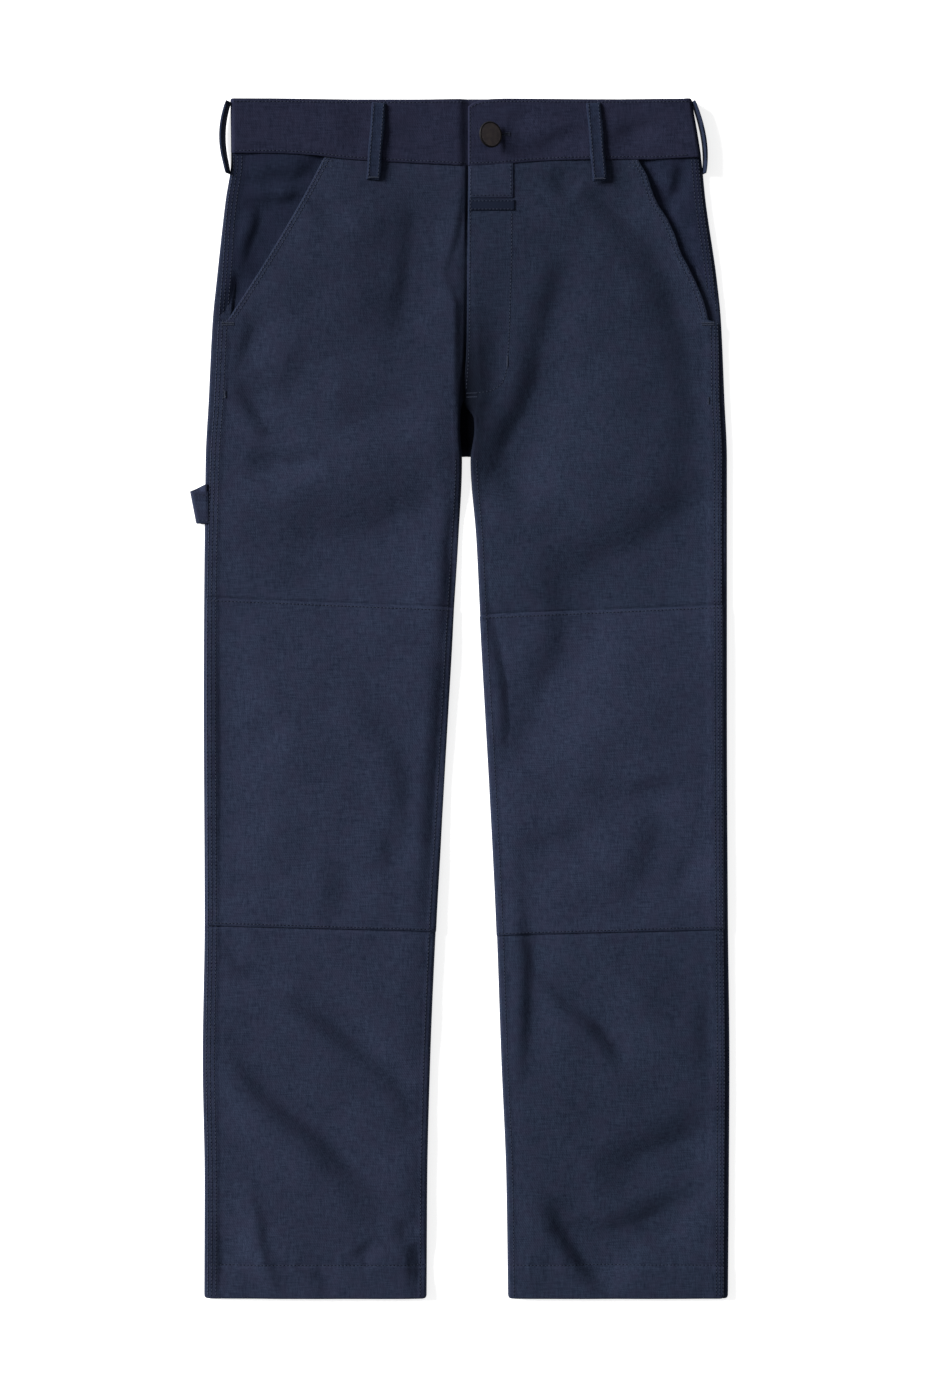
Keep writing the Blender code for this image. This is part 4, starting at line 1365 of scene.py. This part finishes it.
@dataclass
class FrontLoop:
    """A belt loop on the front: a folded strip tacked above and below the waistband."""

    leg: Leg
    top: tuple[float, float]
    bottom: tuple[float, float]
    width: float
    wall: float = 1.5
    lie: float = 10.6
    bow: float = 1.4

    def middle(self, share: Array) -> tuple[Array, Array]:
        """The middle of the strip at a share of the way down it."""
        return mix(self.top[0], self.bottom[0], share), mix(self.top[1], self.bottom[1], share)

    def height(self, share: Array, aside: Array) -> Array:
        """The strip's height at a share of the way down, with its two stitched edges a little raised.

        Args:
            share: Shares of the way down.
            aside: Distances from its middle.

        Returns:
            Heights above the floor.
        """
        rise = self.bow * np.sin(np.pi * np.clip(share, 0.0, 1.0)) ** 0.7
        dip = 0.7 * ease((share - 0.93) / 0.07) + 0.5 * ease((0.05 - share) / 0.05)
        return self.lie + rise - dip + 0.2 * bell(np.abs(aside) - self.width * 0.36, 1.6)

    def sew(self) -> None:
        """Makes the strip."""
        length = math.hypot(self.bottom[0] - self.top[0], self.bottom[1] - self.top[1])
        near = np.array([0.0, 0.005, 0.013, 0.024])
        rows = np.concatenate([near, np.linspace(0.05, 0.95, 34), 1.0 - near[::-1]])
        half = self.width / 2
        asides = np.array([0.0, 0.35, 0.9, 1.7, 2.6, 3.6, 4.8])
        asides = np.concatenate([-half + asides, [0.0], half - asides[::-1]])
        lean = (self.bottom[0] - self.top[0]) / length
        grid = []
        for aside in asides:
            x, drop = self.middle(rows)
            ends = curl(np.minimum(rows, 1.0 - rows) * length, 1.1)
            z = self.height(rows, aside) - curl(half - abs(aside), 1.1) - ends
            waver = 0.25 * np.sin(rows * 11.0 + self.top[0])
            grid.append(place(x + aside + waver, drop - lean * aside, z))
        points = np.stack(grid, axis=1)
        ClothPiece(f"belt_loop_front_{self.leg.side}", "waistband_twill", LOOP_TWILL, self.wall).sew(
            points, (self.width, length + 1.0), None, ["waistband_cloth"], True
        )


@dataclass
class SideLoop:
    """A belt loop on the side, seen edge-on, standing off the waistband with its upper edge leaning away."""

    leg: Leg
    top: float = 2.0
    bottom: float = 66.0
    low: float = 0.4
    high: float = 10.4
    bow: float = 4.2
    lean: float = 4.2
    wall: float = 1.5

    def surface(self, share: Array, rise: Array) -> tuple[Array, Array, Array]:
        """A place on the loop's outer side.

        Args:
            share: Shares of the way down the loop.
            rise: Shares of the way up its width.

        Returns:
            The distance across, the drop and the height.
        """
        outwards = -self.leg.inwards
        drop = mix(self.top, self.bottom, share)
        hump = np.sin(np.pi * np.clip(share, 0.0, 1.0)) ** 0.8
        stand = 0.6 + (self.wall + self.bow) * hump
        leaning = self.lean * (0.75 + 0.25 * hump) * rise**1.5
        ends = curl(np.minimum(rise, 1.0 - rise) * (self.high - self.low), 0.7)
        x = PATTERN.outer(self.leg, drop) + outwards * (stand + leaning - ends)
        return x, drop, mix(self.low, self.high, rise)

    def sew(self) -> None:
        """Makes the loop."""
        rows = np.linspace(0.0, 1.0, 44)
        rises = np.array([0.0, 0.035, 0.09, 0.17, 0.27, 0.4, 0.5, 0.6, 0.73, 0.83, 0.91, 0.965, 1.0])
        points = np.stack([place(*self.surface(rows, rise)) for rise in rises], axis=1)
        ClothPiece(f"belt_loop_side_{self.leg.side}", "waistband_twill", LOOP_TWILL, self.wall).sew(
            points, (12.0, 66.0), None, ["waistband_cloth"], self.leg is Leg.RIGHT
        )


@dataclass
class HammerLoop:
    """The tool strap on the right outseam: out from the seam, round a soft fold and back to the leg."""

    top: float = 345.6
    bottom: float = 374.0
    rise: float = 6.0
    lift: float = 6.7
    wall: float = 1.4

    def section(self, share: Array) -> list[tuple[Array, float, float]]:
        """The strap's path at a share of the way up it.

        Args:
            share: Shares from its lower edge to its upper one.

        Returns:
            Distance across, height, and how much it belongs to the layer behind.
        """
        seam = float(PATTERN.outer(Leg.RIGHT, self.bottom))
        tip, radius = mix(-232.4, -237.9, share), self.lift / 2
        path = []
        for way, level in ((0.0, 5.6), (0.2, 4.4), (0.46, 1.6), (0.72, 0.1)):
            path.append((mix(seam + 2.6, tip + radius, way), level, 1.0 - 0.72 * way))
        for turn in np.linspace(0.0, math.pi, 17):
            behind = 0.28 * max(0.0, 1.0 - 2.0 * turn / math.pi)
            path.append((tip + radius - radius * math.sin(turn), radius * (1 - math.cos(turn)), behind))
        for way, fall in ((0.25, 0.0), (0.5, 0.0), (0.72, 0.0), (0.88, 0.05), (1.0, 0.5)):
            path.append((mix(tip + radius, seam + 4.4, way), self.lift - fall, 0.0))
        return path

    def sew(self) -> None:
        """Makes the strap."""
        near = np.array([0.0, 0.012, 0.034, 0.063, 0.1])
        rows = np.concatenate([near, np.linspace(0.16, 0.84, 12), 1.0 - near[::-1]])
        ends = curl(np.minimum(rows, 1.0 - rows) * 26.5, 0.55)
        grid = []
        for x, z, behind in self.section(rows):
            drop = mix(self.bottom, self.top, rows) - self.rise * behind * rows
            grid.append(place(x + ends * 0.5, drop, z - ends * ease(z / self.lift)))
        points = np.stack(grid, axis=1)
        ClothPiece("hammer_loop", "navy_twill", LEG_TWILL, self.wall).sew(
            points, (31.0, 28.5), None, ["back_right_cloth"], False
        )


@dataclass
class FlyTrim:
    """A small flat piece on the left front beside the fly."""

    node: str
    slot: str
    finish: Finish
    area: tuple[float, float, float, float]
    front: FrontLeg
    out: float = 1.0
    wall: float = 0.8
    edge: float = 0.8

    def height(self, x: Array, drop: Array) -> Array:
        """The height of its outer side, away from its edges."""
        return self.front.height(x, drop) + self.out

    def sew(self) -> None:
        """Makes the piece from the front's own places, moved out."""
        left, right, top, bottom = self.area
        near = np.array([0.0, 0.35, 0.9, 1.7])
        across = np.concatenate([left + near, spaced(left + 3.2, right - 3.2, 2.0), right - near[::-1]])
        down = np.concatenate([top + near, spaced(top + 3.0, bottom - 3.0, 1.6), bottom - near[::-1]])
        x, drop = np.meshgrid(across, down)
        away = np.minimum(np.minimum(x - left, right - x), np.minimum(drop - top, bottom - drop))
        points = place(x, drop, self.height(x, drop) - curl(away, self.edge))
        width, length = right - left, bottom - top
        ClothPiece(self.node, self.slot, self.finish, self.wall).sew(
            points, (width, max(length, 10.01)), width * length, ["front_left_cloth"], True
        )


@dataclass
class WaistButton:
    """A stamped tack button: a flat face with a turned rim on a short shank, tipped as it hangs."""

    x: float = 24.8
    drop: float = 33.2
    diameter: float = 23.0
    seat: float = 8.9
    tilt: float = 32.0
    steps: int = 72

    def profile(self) -> list[tuple[float, float]]:
        """Half of the button's outline, from the middle of its face round to the middle of its foot.

        Returns:
            Pairs of radius and height in millimetres.
        """
        cap = self.diameter / 2
        top = 5.0
        rim = [
            (cap - 1.55, top - 0.32),
            (cap - 1.3, top - 0.12),
            (cap - 1.0, top),
            (cap - 0.55, top - 0.02),
            (cap - 0.22, top - 0.25),
            (cap, top - 0.75),
            (cap - 0.02, top - 1.5),
            (cap - 0.35, top - 2.1),
            (cap - 0.9, top - 2.45),
        ]
        face = [(0.0, top - 0.2), (cap * 0.3, top - 0.22), (cap * 0.62, top - 0.3), (cap - 2.0, top - 0.42)]
        foot = [(4.2, 2.5), (3.4, 2.1), (3.3, 0.3), (3.0, 0.0), (0.0, 0.0)]
        return face + rim + foot

    def sew(self) -> None:
        """Turns the button and sets it over the end of its buttonhole."""
        outline = self.profile()
        angles = np.linspace(0.0, 2 * np.pi, self.steps, endpoint=False)
        points = [(0.0, 0.0, outline[0][1])]
        for radius, height in outline[1:-1]:
            points += [(radius * math.cos(a), radius * math.sin(a), height) for a in angles]
        points.append((0.0, 0.0, outline[-1][1]))
        rings, count = len(outline) - 2, self.steps
        faces = [(0, 1 + i, 1 + (i + 1) % count) for i in range(count)]
        for ring in range(rings - 1):
            base = 1 + ring * count
            for i in range(count):
                j = (i + 1) % count
                faces.append((base + i, base + count + i, base + count + j, base + j))
        base, last = 1 + (rings - 1) * count, len(points) - 1
        faces += [(base + i, last, base + (i + 1) % count) for i in range(count)]
        tilt = math.radians(self.tilt)
        turned = np.array(points)
        spun_x = turned[:, 0] * math.cos(tilt) + turned[:, 2] * math.sin(tilt)
        spun_z = -turned[:, 0] * math.sin(tilt) + turned[:, 2] * math.cos(tilt)
        lowest_rim = (self.diameter / 2 - 0.9) * math.sin(tilt) - 2.5 * math.cos(tilt)
        seat = self.seat + max(lowest_rim, 3.0 * math.sin(tilt))
        places = place(self.x + spun_x, self.drop - turned[:, 1], seat + spun_z)
        button = mesh_object("waist_button_cap", places, faces, BlackenedBrass())
        # The rim and foot take the darker brass: blackened plating, with painted shade round the cap's edge.
        button.data.materials.append(RIM_BRASS_AND_SHADE.material())
        for polygon in button.data.polygons[4 * count :]:
            polygon.material_index = 1
        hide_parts("waist_button")
        log.info("%s: %d points", button.name, len(points))


class Seams:
    """All the sewing of one part of the garment, gathered into one thread mesh and one of needle holes."""

    def __init__(self, name: str, pitch: float = 3.2, girth: float = 0.5) -> None:
        """Starts without any stitches.

        Args:
            name: The name that its two pieces share.
            pitch: The length of one stitch.
            girth: The thread's thickness.
        """
        self.name, self.pitch, self.girth = name, pitch, girth
        self.threads: list[tuple[Array, Array, Array, float]] = []
        self.holes: list[tuple[Array, Array, Array]] = []

    @staticmethod
    def frames(path: Array, lift: Callable[[Array], Array] | None, at: Array) -> tuple[Array, Array, Array]:
        """Points, directions and outward normals at distances along a path.

        Args:
            path: Points of X, drop and Z in millimetres.
            lift: The outward direction at each point, or None for a path that lies on its back.
            at: Distances along it.

        Returns:
            Three arrays with a row for each distance.
        """
        run = np.concatenate([[0.0], np.cumsum(np.linalg.norm(np.diff(path, axis=0), axis=1))])
        points = np.stack([np.interp(at, run, path[:, k]) for k in range(3)], axis=1)
        ahead = np.stack([np.interp(at + 0.8, run, path[:, k]) for k in range(3)], axis=1)
        behind = np.stack([np.interp(at - 0.8, run, path[:, k]) for k in range(3)], axis=1)
        along = ahead - behind
        along /= np.linalg.norm(along, axis=1, keepdims=True)
        up = np.tile([0.0, 0.0, 1.0], (len(at), 1)) if lift is None else lift(points)
        up = up - (up * along).sum(1, keepdims=True) * along
        return points, along, up / np.linalg.norm(up, axis=1, keepdims=True)

    def run(self, path: Array, lift: Callable[[Array], Array] | None = None, holes: bool = True) -> None:
        """A row of stitches along a path.

        Args:
            path: Points of X, drop and Z in millimetres.
            lift: The outward direction at each point, or None for up.
            holes: True where the needle holes show as well.
        """
        total = np.linalg.norm(np.diff(path, axis=0), axis=1).sum()
        count = max(1, int(total / self.pitch))
        pitch = total / count
        at = (np.arange(count) + 0.5) * pitch
        points, along, up = self.frames(path, lift, at)
        self.threads.append((points, along, up, pitch * 0.66))
        if holes:
            self.holes.append(self.frames(path, lift, np.arange(count + 1) * pitch))

    def on(
        self, surface: Height, places: Sequence[tuple[float, float]], step: float = 2.0, holes: bool = True
    ) -> None:
        """A row of stitches over a surface, through a line of places.

        Args:
            surface: Gives the cloth's height at a place.
            places: Pairs of distance across and drop.
            step: How closely the row follows the surface.
            holes: True where the needle holes show as well.
        """
        ends = np.array(places, float)
        run = np.concatenate([[0.0], np.cumsum(np.hypot(*np.diff(ends, axis=0).T))])
        at = spaced(0.0, run[-1], step)
        x, drop = np.interp(at, run, ends[:, 0]), np.interp(at, run, ends[:, 1])
        self.run(np.stack([x, drop, surface(x, drop)], axis=1), None, holes)

    def bar_tack(
        self, surface: Height, start: tuple[float, float], end: tuple[float, float], width: float = 2.0
    ) -> None:
        """Close stitches side by side across a short line, which hold a point of strain.

        Args:
            surface: Gives the cloth's height at a place.
            start: One end of the bar.
            end: Its other end.
            width: The length of each stitch.
        """
        length = math.dist(start, end)
        share = np.linspace(0.0, 1.0, max(3, int(length / 0.6)))
        x, drop = mix(start[0], end[0], share), mix(start[1], end[1], share)
        points = np.stack([x, drop, surface(x, drop) + 0.15], axis=1)
        across = np.array([(end[1] - start[1]) / length, -(end[0] - start[0]) / length, 0.0])
        along = np.tile(across, (len(x), 1))
        up = np.tile([0.0, 0.0, 1.0], (len(x), 1))
        self.threads.append((points, along, up, width))

    def sew(self) -> None:
        """Joins every stitch into one piece, and every needle hole into another."""
        sides, reach = 6, np.array([-0.5, -0.33, 0.33, 0.5])
        girths, sinks = np.array([0.5, 1.0, 1.0, 0.5]), np.array([-0.34, 0.04, 0.04, -0.34])
        angles = np.linspace(0.0, 2 * np.pi, sides, endpoint=False)
        rings = []
        for points, along, up, length in self.threads:
            across = np.cross(along, up)
            for part, girth, sink in zip(reach, girths, sinks):
                centre = points + along * (part * length) + up * (sink + 0.1)
                for angle in angles:
                    out = across * math.cos(angle) + up * (0.7 * math.sin(angle))
                    rings.append(centre + out * (girth * self.girth / 2))
        blocks, start = [], 0
        for points, *_ in self.threads:
            size = len(reach) * sides
            blocks.append(np.stack(rings[start : start + size], axis=1).reshape(-1, 3))
            start += size
        all_points = np.concatenate(blocks)
        count, size = len(all_points) // (len(reach) * sides), len(reach) * sides
        faces = []
        for ring in range(len(reach) - 1):
            for i in range(sides):
                j = (i + 1) % sides
                base, after = ring * sides, (ring + 1) * sides
                faces.append([base + i, base + j, after + j, after + i])
        quads = (np.array(faces)[None] + (np.arange(count) * size)[:, None, None]).reshape(-1, 4)
        tips = [[k for k in range(sides)][::-1], [size - sides + k for k in range(sides)]]
        caps = (np.array(tips)[None] + (np.arange(count) * size)[:, None, None]).reshape(-1, sides)
        mesh_faces = quads.tolist() + caps.tolist()
        threads = mesh_object(f"{self.name}_thread", place(*all_points.T), mesh_faces, THREAD)
        log.info("%s: %d stitches", threads.name, count)
        if self.holes:
            self.sew_holes()

    def sew_holes(self) -> None:
        """Makes the needle holes: a shallow pit between each stitch and the next, painted almost black as its
        shadow.
        """
        angles = np.linspace(0.0, 2 * np.pi, 6, endpoint=False)
        corners, middles = [], []
        for points, along, up in self.holes:
            across = np.cross(along, up)
            ring = [
                points + up * 0.1 + along * (0.58 * math.cos(a)) + across * (0.42 * math.sin(a))
                for a in angles
            ]
            corners.append(np.stack(ring, axis=1).reshape(-1, 3))
            middles.append(points + up * 0.02)
        corner, middle = np.concatenate(corners), np.concatenate(middles)
        count = len(middle)
        faces = []
        first = np.arange(count) * 6
        for i in range(6):
            faces.append(np.stack([first + i, first + (i + 1) % 6, 6 * count + np.arange(count)], axis=1))
        points = np.concatenate([corner, middle])
        corners = np.concatenate(faces)[:, ::-1]
        holes = mesh_object(f"{self.name}_needle_holes", place(*points.T), corners, HOLE_SHADOW)


@dataclass
class LegSewing:
    """The sewing of one leg: its seams, pocket, knee patch and hem."""

    front: FrontLeg
    facing: PocketFacing
    patch: KneePatch
    outseam_rows: tuple[float, ...]

    def top_cloth(self, x: Array, drop: Array) -> Array:
        """The height of whichever layer shows at a place."""
        leg = self.front.leg
        inwards = leg.inwards
        z = self.front.height(x, drop)
        on_facing = (drop < PATTERN.POCKET_END) & ((x - PATTERN.mouth(leg, drop)) * inwards < 0)
        z = np.where(on_facing, self.facing.height(x, drop), z)
        share = (x - PATTERN.outseam(leg, drop)) / (PATTERN.inner(leg, drop) - PATTERN.outseam(leg, drop))
        top, bottom = self.patch.edges(np.clip(share, 0.0, 1.0))
        return z + self.patch.out * ((drop > top) & (drop < bottom))

    def down(
        self, line: Callable[[Array], Array], start: float, end: float, step: float = 3.0
    ) -> list[tuple[float, float]]:
        """Places down a line that is given by its distance across at each drop."""
        drops = spaced(start, end, step)
        return list(zip(line(drops), drops))

    def sew(self) -> None:
        """Makes all the rows and tacks of the leg."""
        leg, inwards = self.front.leg, self.front.leg.inwards
        seams = Seams(f"{leg.side}_leg_seams")
        for inset in self.outseam_rows:
            line = self.down(lambda d, inset=inset: PATTERN.outseam(leg, d) + inwards * inset, 50.0, 1053.0)
            seams.on(self.top_cloth, line)
        inseam = self.down(lambda d: PATTERN.inner(leg, d) - inwards * 5.6, 318.0, 1053.0)
        seams.on(self.top_cloth, inseam)
        for inset in (2.2, 5.4):
            line = self.down(lambda d, inset=inset: PATTERN.mouth(leg, d) + inwards * inset, 51.0, 194.0)
            seams.on(self.top_cloth, line)
        self.sew_patch(seams)
        outer, inner = float(PATTERN.outseam(leg, 1026.0)), float(PATTERN.inner(leg, 1026.0))
        hem = [(outer + inwards * 1.0, PATTERN.HEM_STITCH), (inner - inwards * 3.0, PATTERN.HEM_STITCH)]
        seams.on(self.top_cloth, hem)
        self.sew_tacks(seams)
        seams.sew()

    def sew_patch(self, seams: Seams) -> None:
        """The rows just inside the knee patch's upper and lower edges."""
        leg, inwards = self.front.leg, self.front.leg.inwards
        shares = np.linspace(0.0, 1.0, 40)
        for which, inside in ((0, 2.3), (1, -2.5)):
            drops = np.array([self.patch.edges(share)[which] for share in shares]) + inside
            outer = PATTERN.outseam(leg, drops) + inwards * 0.8
            x = mix(outer, PATTERN.inner(leg, drops) - inwards * 2.6, shares)
            seams.on(self.top_cloth, list(zip(x, drops)))

    def sew_tacks(self, seams: Seams) -> None:
        """The bar tacks at the ends of the pocket and lower down the outseam."""
        leg, inwards = self.front.leg, self.front.leg.inwards
        end = PATTERN.POCKET_END
        foot = float(PATTERN.mouth(leg, end))
        top = float(PATTERN.mouth(leg, 60.0))
        for drop in (end + 2.6, end + 4.2):
            seams.bar_tack(self.top_cloth, (foot - inwards * 5.0, drop), (foot + inwards * 5.5, drop), 1.5)
        for drop in (55.0 if leg is Leg.RIGHT else 57.0, 60.0):
            seams.on(self.top_cloth, [(top + inwards * 1.5, drop), (top + inwards * 13.0, drop)], holes=False)
        tack = 260.5 if leg is Leg.RIGHT else 266.0
        seam = float(PATTERN.outseam(leg, tack)) + inwards * 9.5
        seams.bar_tack(self.top_cloth, (seam, tack - 3.0), (seam, tack + 3.0), 2.2)


@dataclass
class WaistSewing:
    """The sewing of the waistband, loops, fly and tool strap."""

    band: Waistband
    loops: tuple[FrontLoop, ...]
    side_loops: tuple[SideLoop, ...]
    strap: HammerLoop
    front: FrontLeg
    trims: tuple[FlyTrim, ...]

    def fly_cloth(self, x: Array, drop: Array) -> Array:
        """The height of the left front beside the fly, or of the small piece on it."""
        z = self.front.height(x, drop)
        for trim in self.trims:
            left, right, top, bottom = trim.area
            z = z + trim.out * ((x > left) & (x < right) & (drop > top) & (drop < bottom))
        return z

    def sew(self) -> None:
        """Makes all the rows and tacks."""
        seams = Seams("waist_seams")
        self.sew_band(seams)
        for loop in self.loops:
            self.sew_loop(seams, loop)
        for loop in self.side_loops:
            self.sew_side_loop(seams, loop)
        self.sew_fly(seams)
        self.sew_strap(seams)
        self.sew_buttonhole(seams)
        seams.sew()

    def sew_band(self, seams: Seams) -> None:
        """The rows along both edges of the band, and down the end that laps over."""
        for over, start, end in ((True, 9.0, 200.0), (False, -198.0, 5.5)):
            x = spaced(start, end, 4.0)
            surface = lambda a, d, over=over: self.band.height(a, d, over)
            top = self.band.top_drop(x, over) + 2.8
            bottom = PATTERN.waist_seam(x) - 2.0
            seams.on(surface, list(zip(x, top)))
            seams.on(surface, list(zip(x, bottom)))
        end = float(PATTERN.waist_seam(np.array(9.0))) - 2.0
        seams.on(lambda a, d: self.band.height(a, d, True), [(9.0, 11.0), (9.0, end)])

    def sew_loop(self, seams: Seams, loop: FrontLoop) -> None:
        """The two rows down a front loop, and the tacks that hold its ends."""
        for aside in (-loop.width * 0.34, loop.width * 0.34):
            share = np.linspace(0.02, 0.955, 40)
            x, drop = loop.middle(share)
            seams.run(np.stack([x + aside, drop, loop.height(share, aside)], axis=1))
        half = loop.width / 2 - 1.6
        x, drop = (float(v) for v in loop.middle(0.968))
        z = float(loop.height(np.array(0.968), np.array(0.0)))
        seams.bar_tack(lambda a, d: np.full(np.shape(a), z + 0.05), (x - half, drop), (x + half, drop), 1.7)

    def sew_side_loop(self, seams: Seams, loop: SideLoop) -> None:
        """The two rows down a side loop."""
        share = np.linspace(0.03, 0.97, 40)
        outwards = np.array([-loop.leg.inwards, 0.0, 0.0])
        for rise in (0.2, 0.8):
            path = np.stack(np.broadcast_arrays(*loop.surface(share, rise)), axis=1)
            seams.run(path, lambda p: np.tile(outwards, (len(p), 1)))

    def sew_fly(self, seams: Seams) -> None:
        """The edge row, the curved row of the fly, its tacks, and the rows on the small pieces."""
        drops = spaced(62.0, 256.0, 4.0)
        seams.on(self.fly_cloth, list(zip(PATTERN.FLY(drops) + 2.3, drops)))
        curve = [
            (45.6, 101.0), (45.3, 142.0), (43.1, 210.0), (41.8, 235.0),
            (40.0, 244.0), (37.0, 250.5), (33.4, 254.0),
            (28.0, 257.0), (20.0, 258.6), (16.0, 259.0),
        ]
        seams.on(self.fly_cloth, curve, step=1.0)
        seams.bar_tack(self.fly_cloth, (42.0, 227.0), (41.8, 236.0), 2.0)
        for drop in (259.2, 262.6):
            seams.bar_tack(self.fly_cloth, (6.0, drop), (15.0, drop), 1.0)
        left, right, top, bottom = self.trims[0].area
        corner = (right - 2.4, bottom - 2.4)
        seams.on(self.fly_cloth, [(right - 2.4, top + 1.0), corner, (left + 1.0, bottom - 2.4)])
        left, right, top, bottom = self.trims[1].area
        for drop in (top + 1.2, bottom - 1.2):
            seams.on(self.fly_cloth, [(left + 1.0, drop), (right - 1.0, drop)])

    def sew_strap(self, seams: Seams) -> None:
        """The rows along the tool strap's upper and lower edges."""
        for share in (0.1, 0.88):
            shares = np.array([share])
            path = []
            for x, z, behind in self.strap.section(shares)[12:]:
                drop = mix(self.strap.bottom, self.strap.top, share) - self.strap.rise * behind * share
                path.append((float(x[0]), float(drop), float(z)))
            seams.run(np.array(path), holes=False)

    def sew_buttonhole(self, seams: Seams) -> None:
        """The end of the worked buttonhole that shows beside the button: close stitches round a slit."""
        surface = lambda a, d: self.band.height(a, d, True) + 0.1
        for drop in (31.2, 33.0):
            seams.bar_tack(surface, (32.0, drop + 0.5), (43.0, drop - 0.6), 1.2)
        seams.bar_tack(surface, (43.6, 30.2), (43.6, 33.2), 1.4)
        # The slit shows as a row of painted needle-hole shadows.
        slit = [(33.0, 32.4), (42.6, 31.5)]
        path = np.array([[x, drop, float(surface(np.array(x), np.array(drop)))] for x, drop in slit])
        seams.holes.append(Seams.frames(path, None, np.linspace(0.0, 9.0, 10)))


@dataclass
class Studio:
    """The pale floor, the soft lights and the camera straight above."""

    distance: float = 3.0
    view_height: float = 1.232
    aim: tuple[float, float] = (0.0057, -0.0013)
    cloth_level: float = 0.006
    floor_size: float = 6.0

    def build(self) -> None:
        """Makes the floor, the lights and the camera."""
        self.lay_floor()
        self.hang_light("key_window", (-2.35, 0.87, 1.115), 26.0, 7.1)
        world = bpy.data.worlds.new("studio_air")
        world.use_nodes = True
        sky = world.node_tree.nodes["Background"]
        sky.inputs["Color"].default_value = linear("#ffffff")
        sky.inputs["Strength"].default_value = 0.26
        scene = bpy.context.scene
        scene.world = world
        scene.view_settings.view_transform = "Standard"
        self.set_camera()

    def lay_floor(self) -> None:
        """Lays the sheet of paper that the jeans lie on."""
        half = self.floor_size / 2
        mesh = bpy.data.meshes.new("floor")
        corners = [(-half, -half), (half, -half), (half, half), (-half, half)]
        mesh.from_pydata([(x, y, -0.0004) for x, y in corners], [], [(0, 1, 2, 3)])
        mesh.materials.append(StudioPaper().material())
        floor = bpy.data.objects.new("floor", mesh)
        bpy.context.scene.collection.objects.link(floor)

    def hang_light(self, name: str, spot: tuple[float, float, float], spread: float, power: float) -> None:
        """Hangs a distant soft light, aimed at the middle of the garment.

        Args:
            name: The light's name.
            spot: A place towards it, in metres.
            spread: How wide it looks from the garment, in degrees.
            power: Its strength in watts for each square metre.
        """
        light = bpy.data.lights.new(name, "SUN")
        light.angle, light.energy = math.radians(spread), power
        lamp = bpy.data.objects.new(name, light)
        lamp.location = spot
        lamp.rotation_euler = (Vector(spot)).to_track_quat("Z", "Y").to_euler()
        bpy.context.scene.collection.objects.link(lamp)

    def set_camera(self) -> None:
        """Sets the camera straight above, so that the photo's frame height fits at the cloth's level."""
        data = bpy.data.cameras.new("overhead")
        data.type = "PERSP"
        data.sensor_width = 36.0
        data.lens = 36.0 * self.distance / self.view_height
        data.clip_start, data.clip_end = 0.05, 50.0
        camera = bpy.data.objects.new("overhead", data)
        camera.location = (*self.aim, self.distance + self.cloth_level)
        bpy.context.scene.collection.objects.link(camera)
        bpy.context.scene.camera = camera


def main() -> None:
    """Sews every piece in the order that a maker would, and then sets up the studio."""
    logging.basicConfig(level=logging.INFO, format="%(name)s: %(message)s")
    fronts = {leg: FrontLeg(leg) for leg in Leg}
    facings = {leg: PocketFacing(leg) for leg in Leg}
    patches = {leg: KneePatch(fronts[leg]) for leg in Leg}
    rows = {Leg.RIGHT: (0.7, 4.0, 7.8), Leg.LEFT: (0.7, 3.4, 6.6)}
    for leg in Leg:
        BackLeg(leg).sew()
        facings[leg].sew()
        fronts[leg].sew()
        patches[leg].sew()
        LegSewing(fronts[leg], facings[leg], patches[leg], rows[leg]).sew()
    band = Waistband()
    band.sew()
    loops = (
        FrontLoop(Leg.RIGHT, (-71.1, 4.2), (-76.3, 72.2), 12.4),
        FrontLoop(Leg.LEFT, (117.3, 4.4), (123.0, 73.2), 12.8),
    )
    side_loops = (SideLoop(Leg.RIGHT), SideLoop(Leg.LEFT, bow=2.0, lean=3.0))
    strap = HammerLoop()
    patch = FlyTrim("fly_patch", "navy_twill", LEG_TWILL, (8.2, 47.3, 56.0, 88.0), fronts[Leg.LEFT])
    left_front = fronts[Leg.LEFT]
    tape = FlyTrim("fly_tape", "woven_tape", WovenTape(), (7.8, 48.2, 89.4, 99.0), left_front, 0.9, 0.7, 0.5)
    for piece in (*loops, *side_loops, strap, patch, tape, WaistButton()):
        piece.sew()
    WaistSewing(band, loops, side_loops, strap, fronts[Leg.LEFT], (patch, tape)).sew()
    Studio().build()


if __name__ == "__main__":
    main()
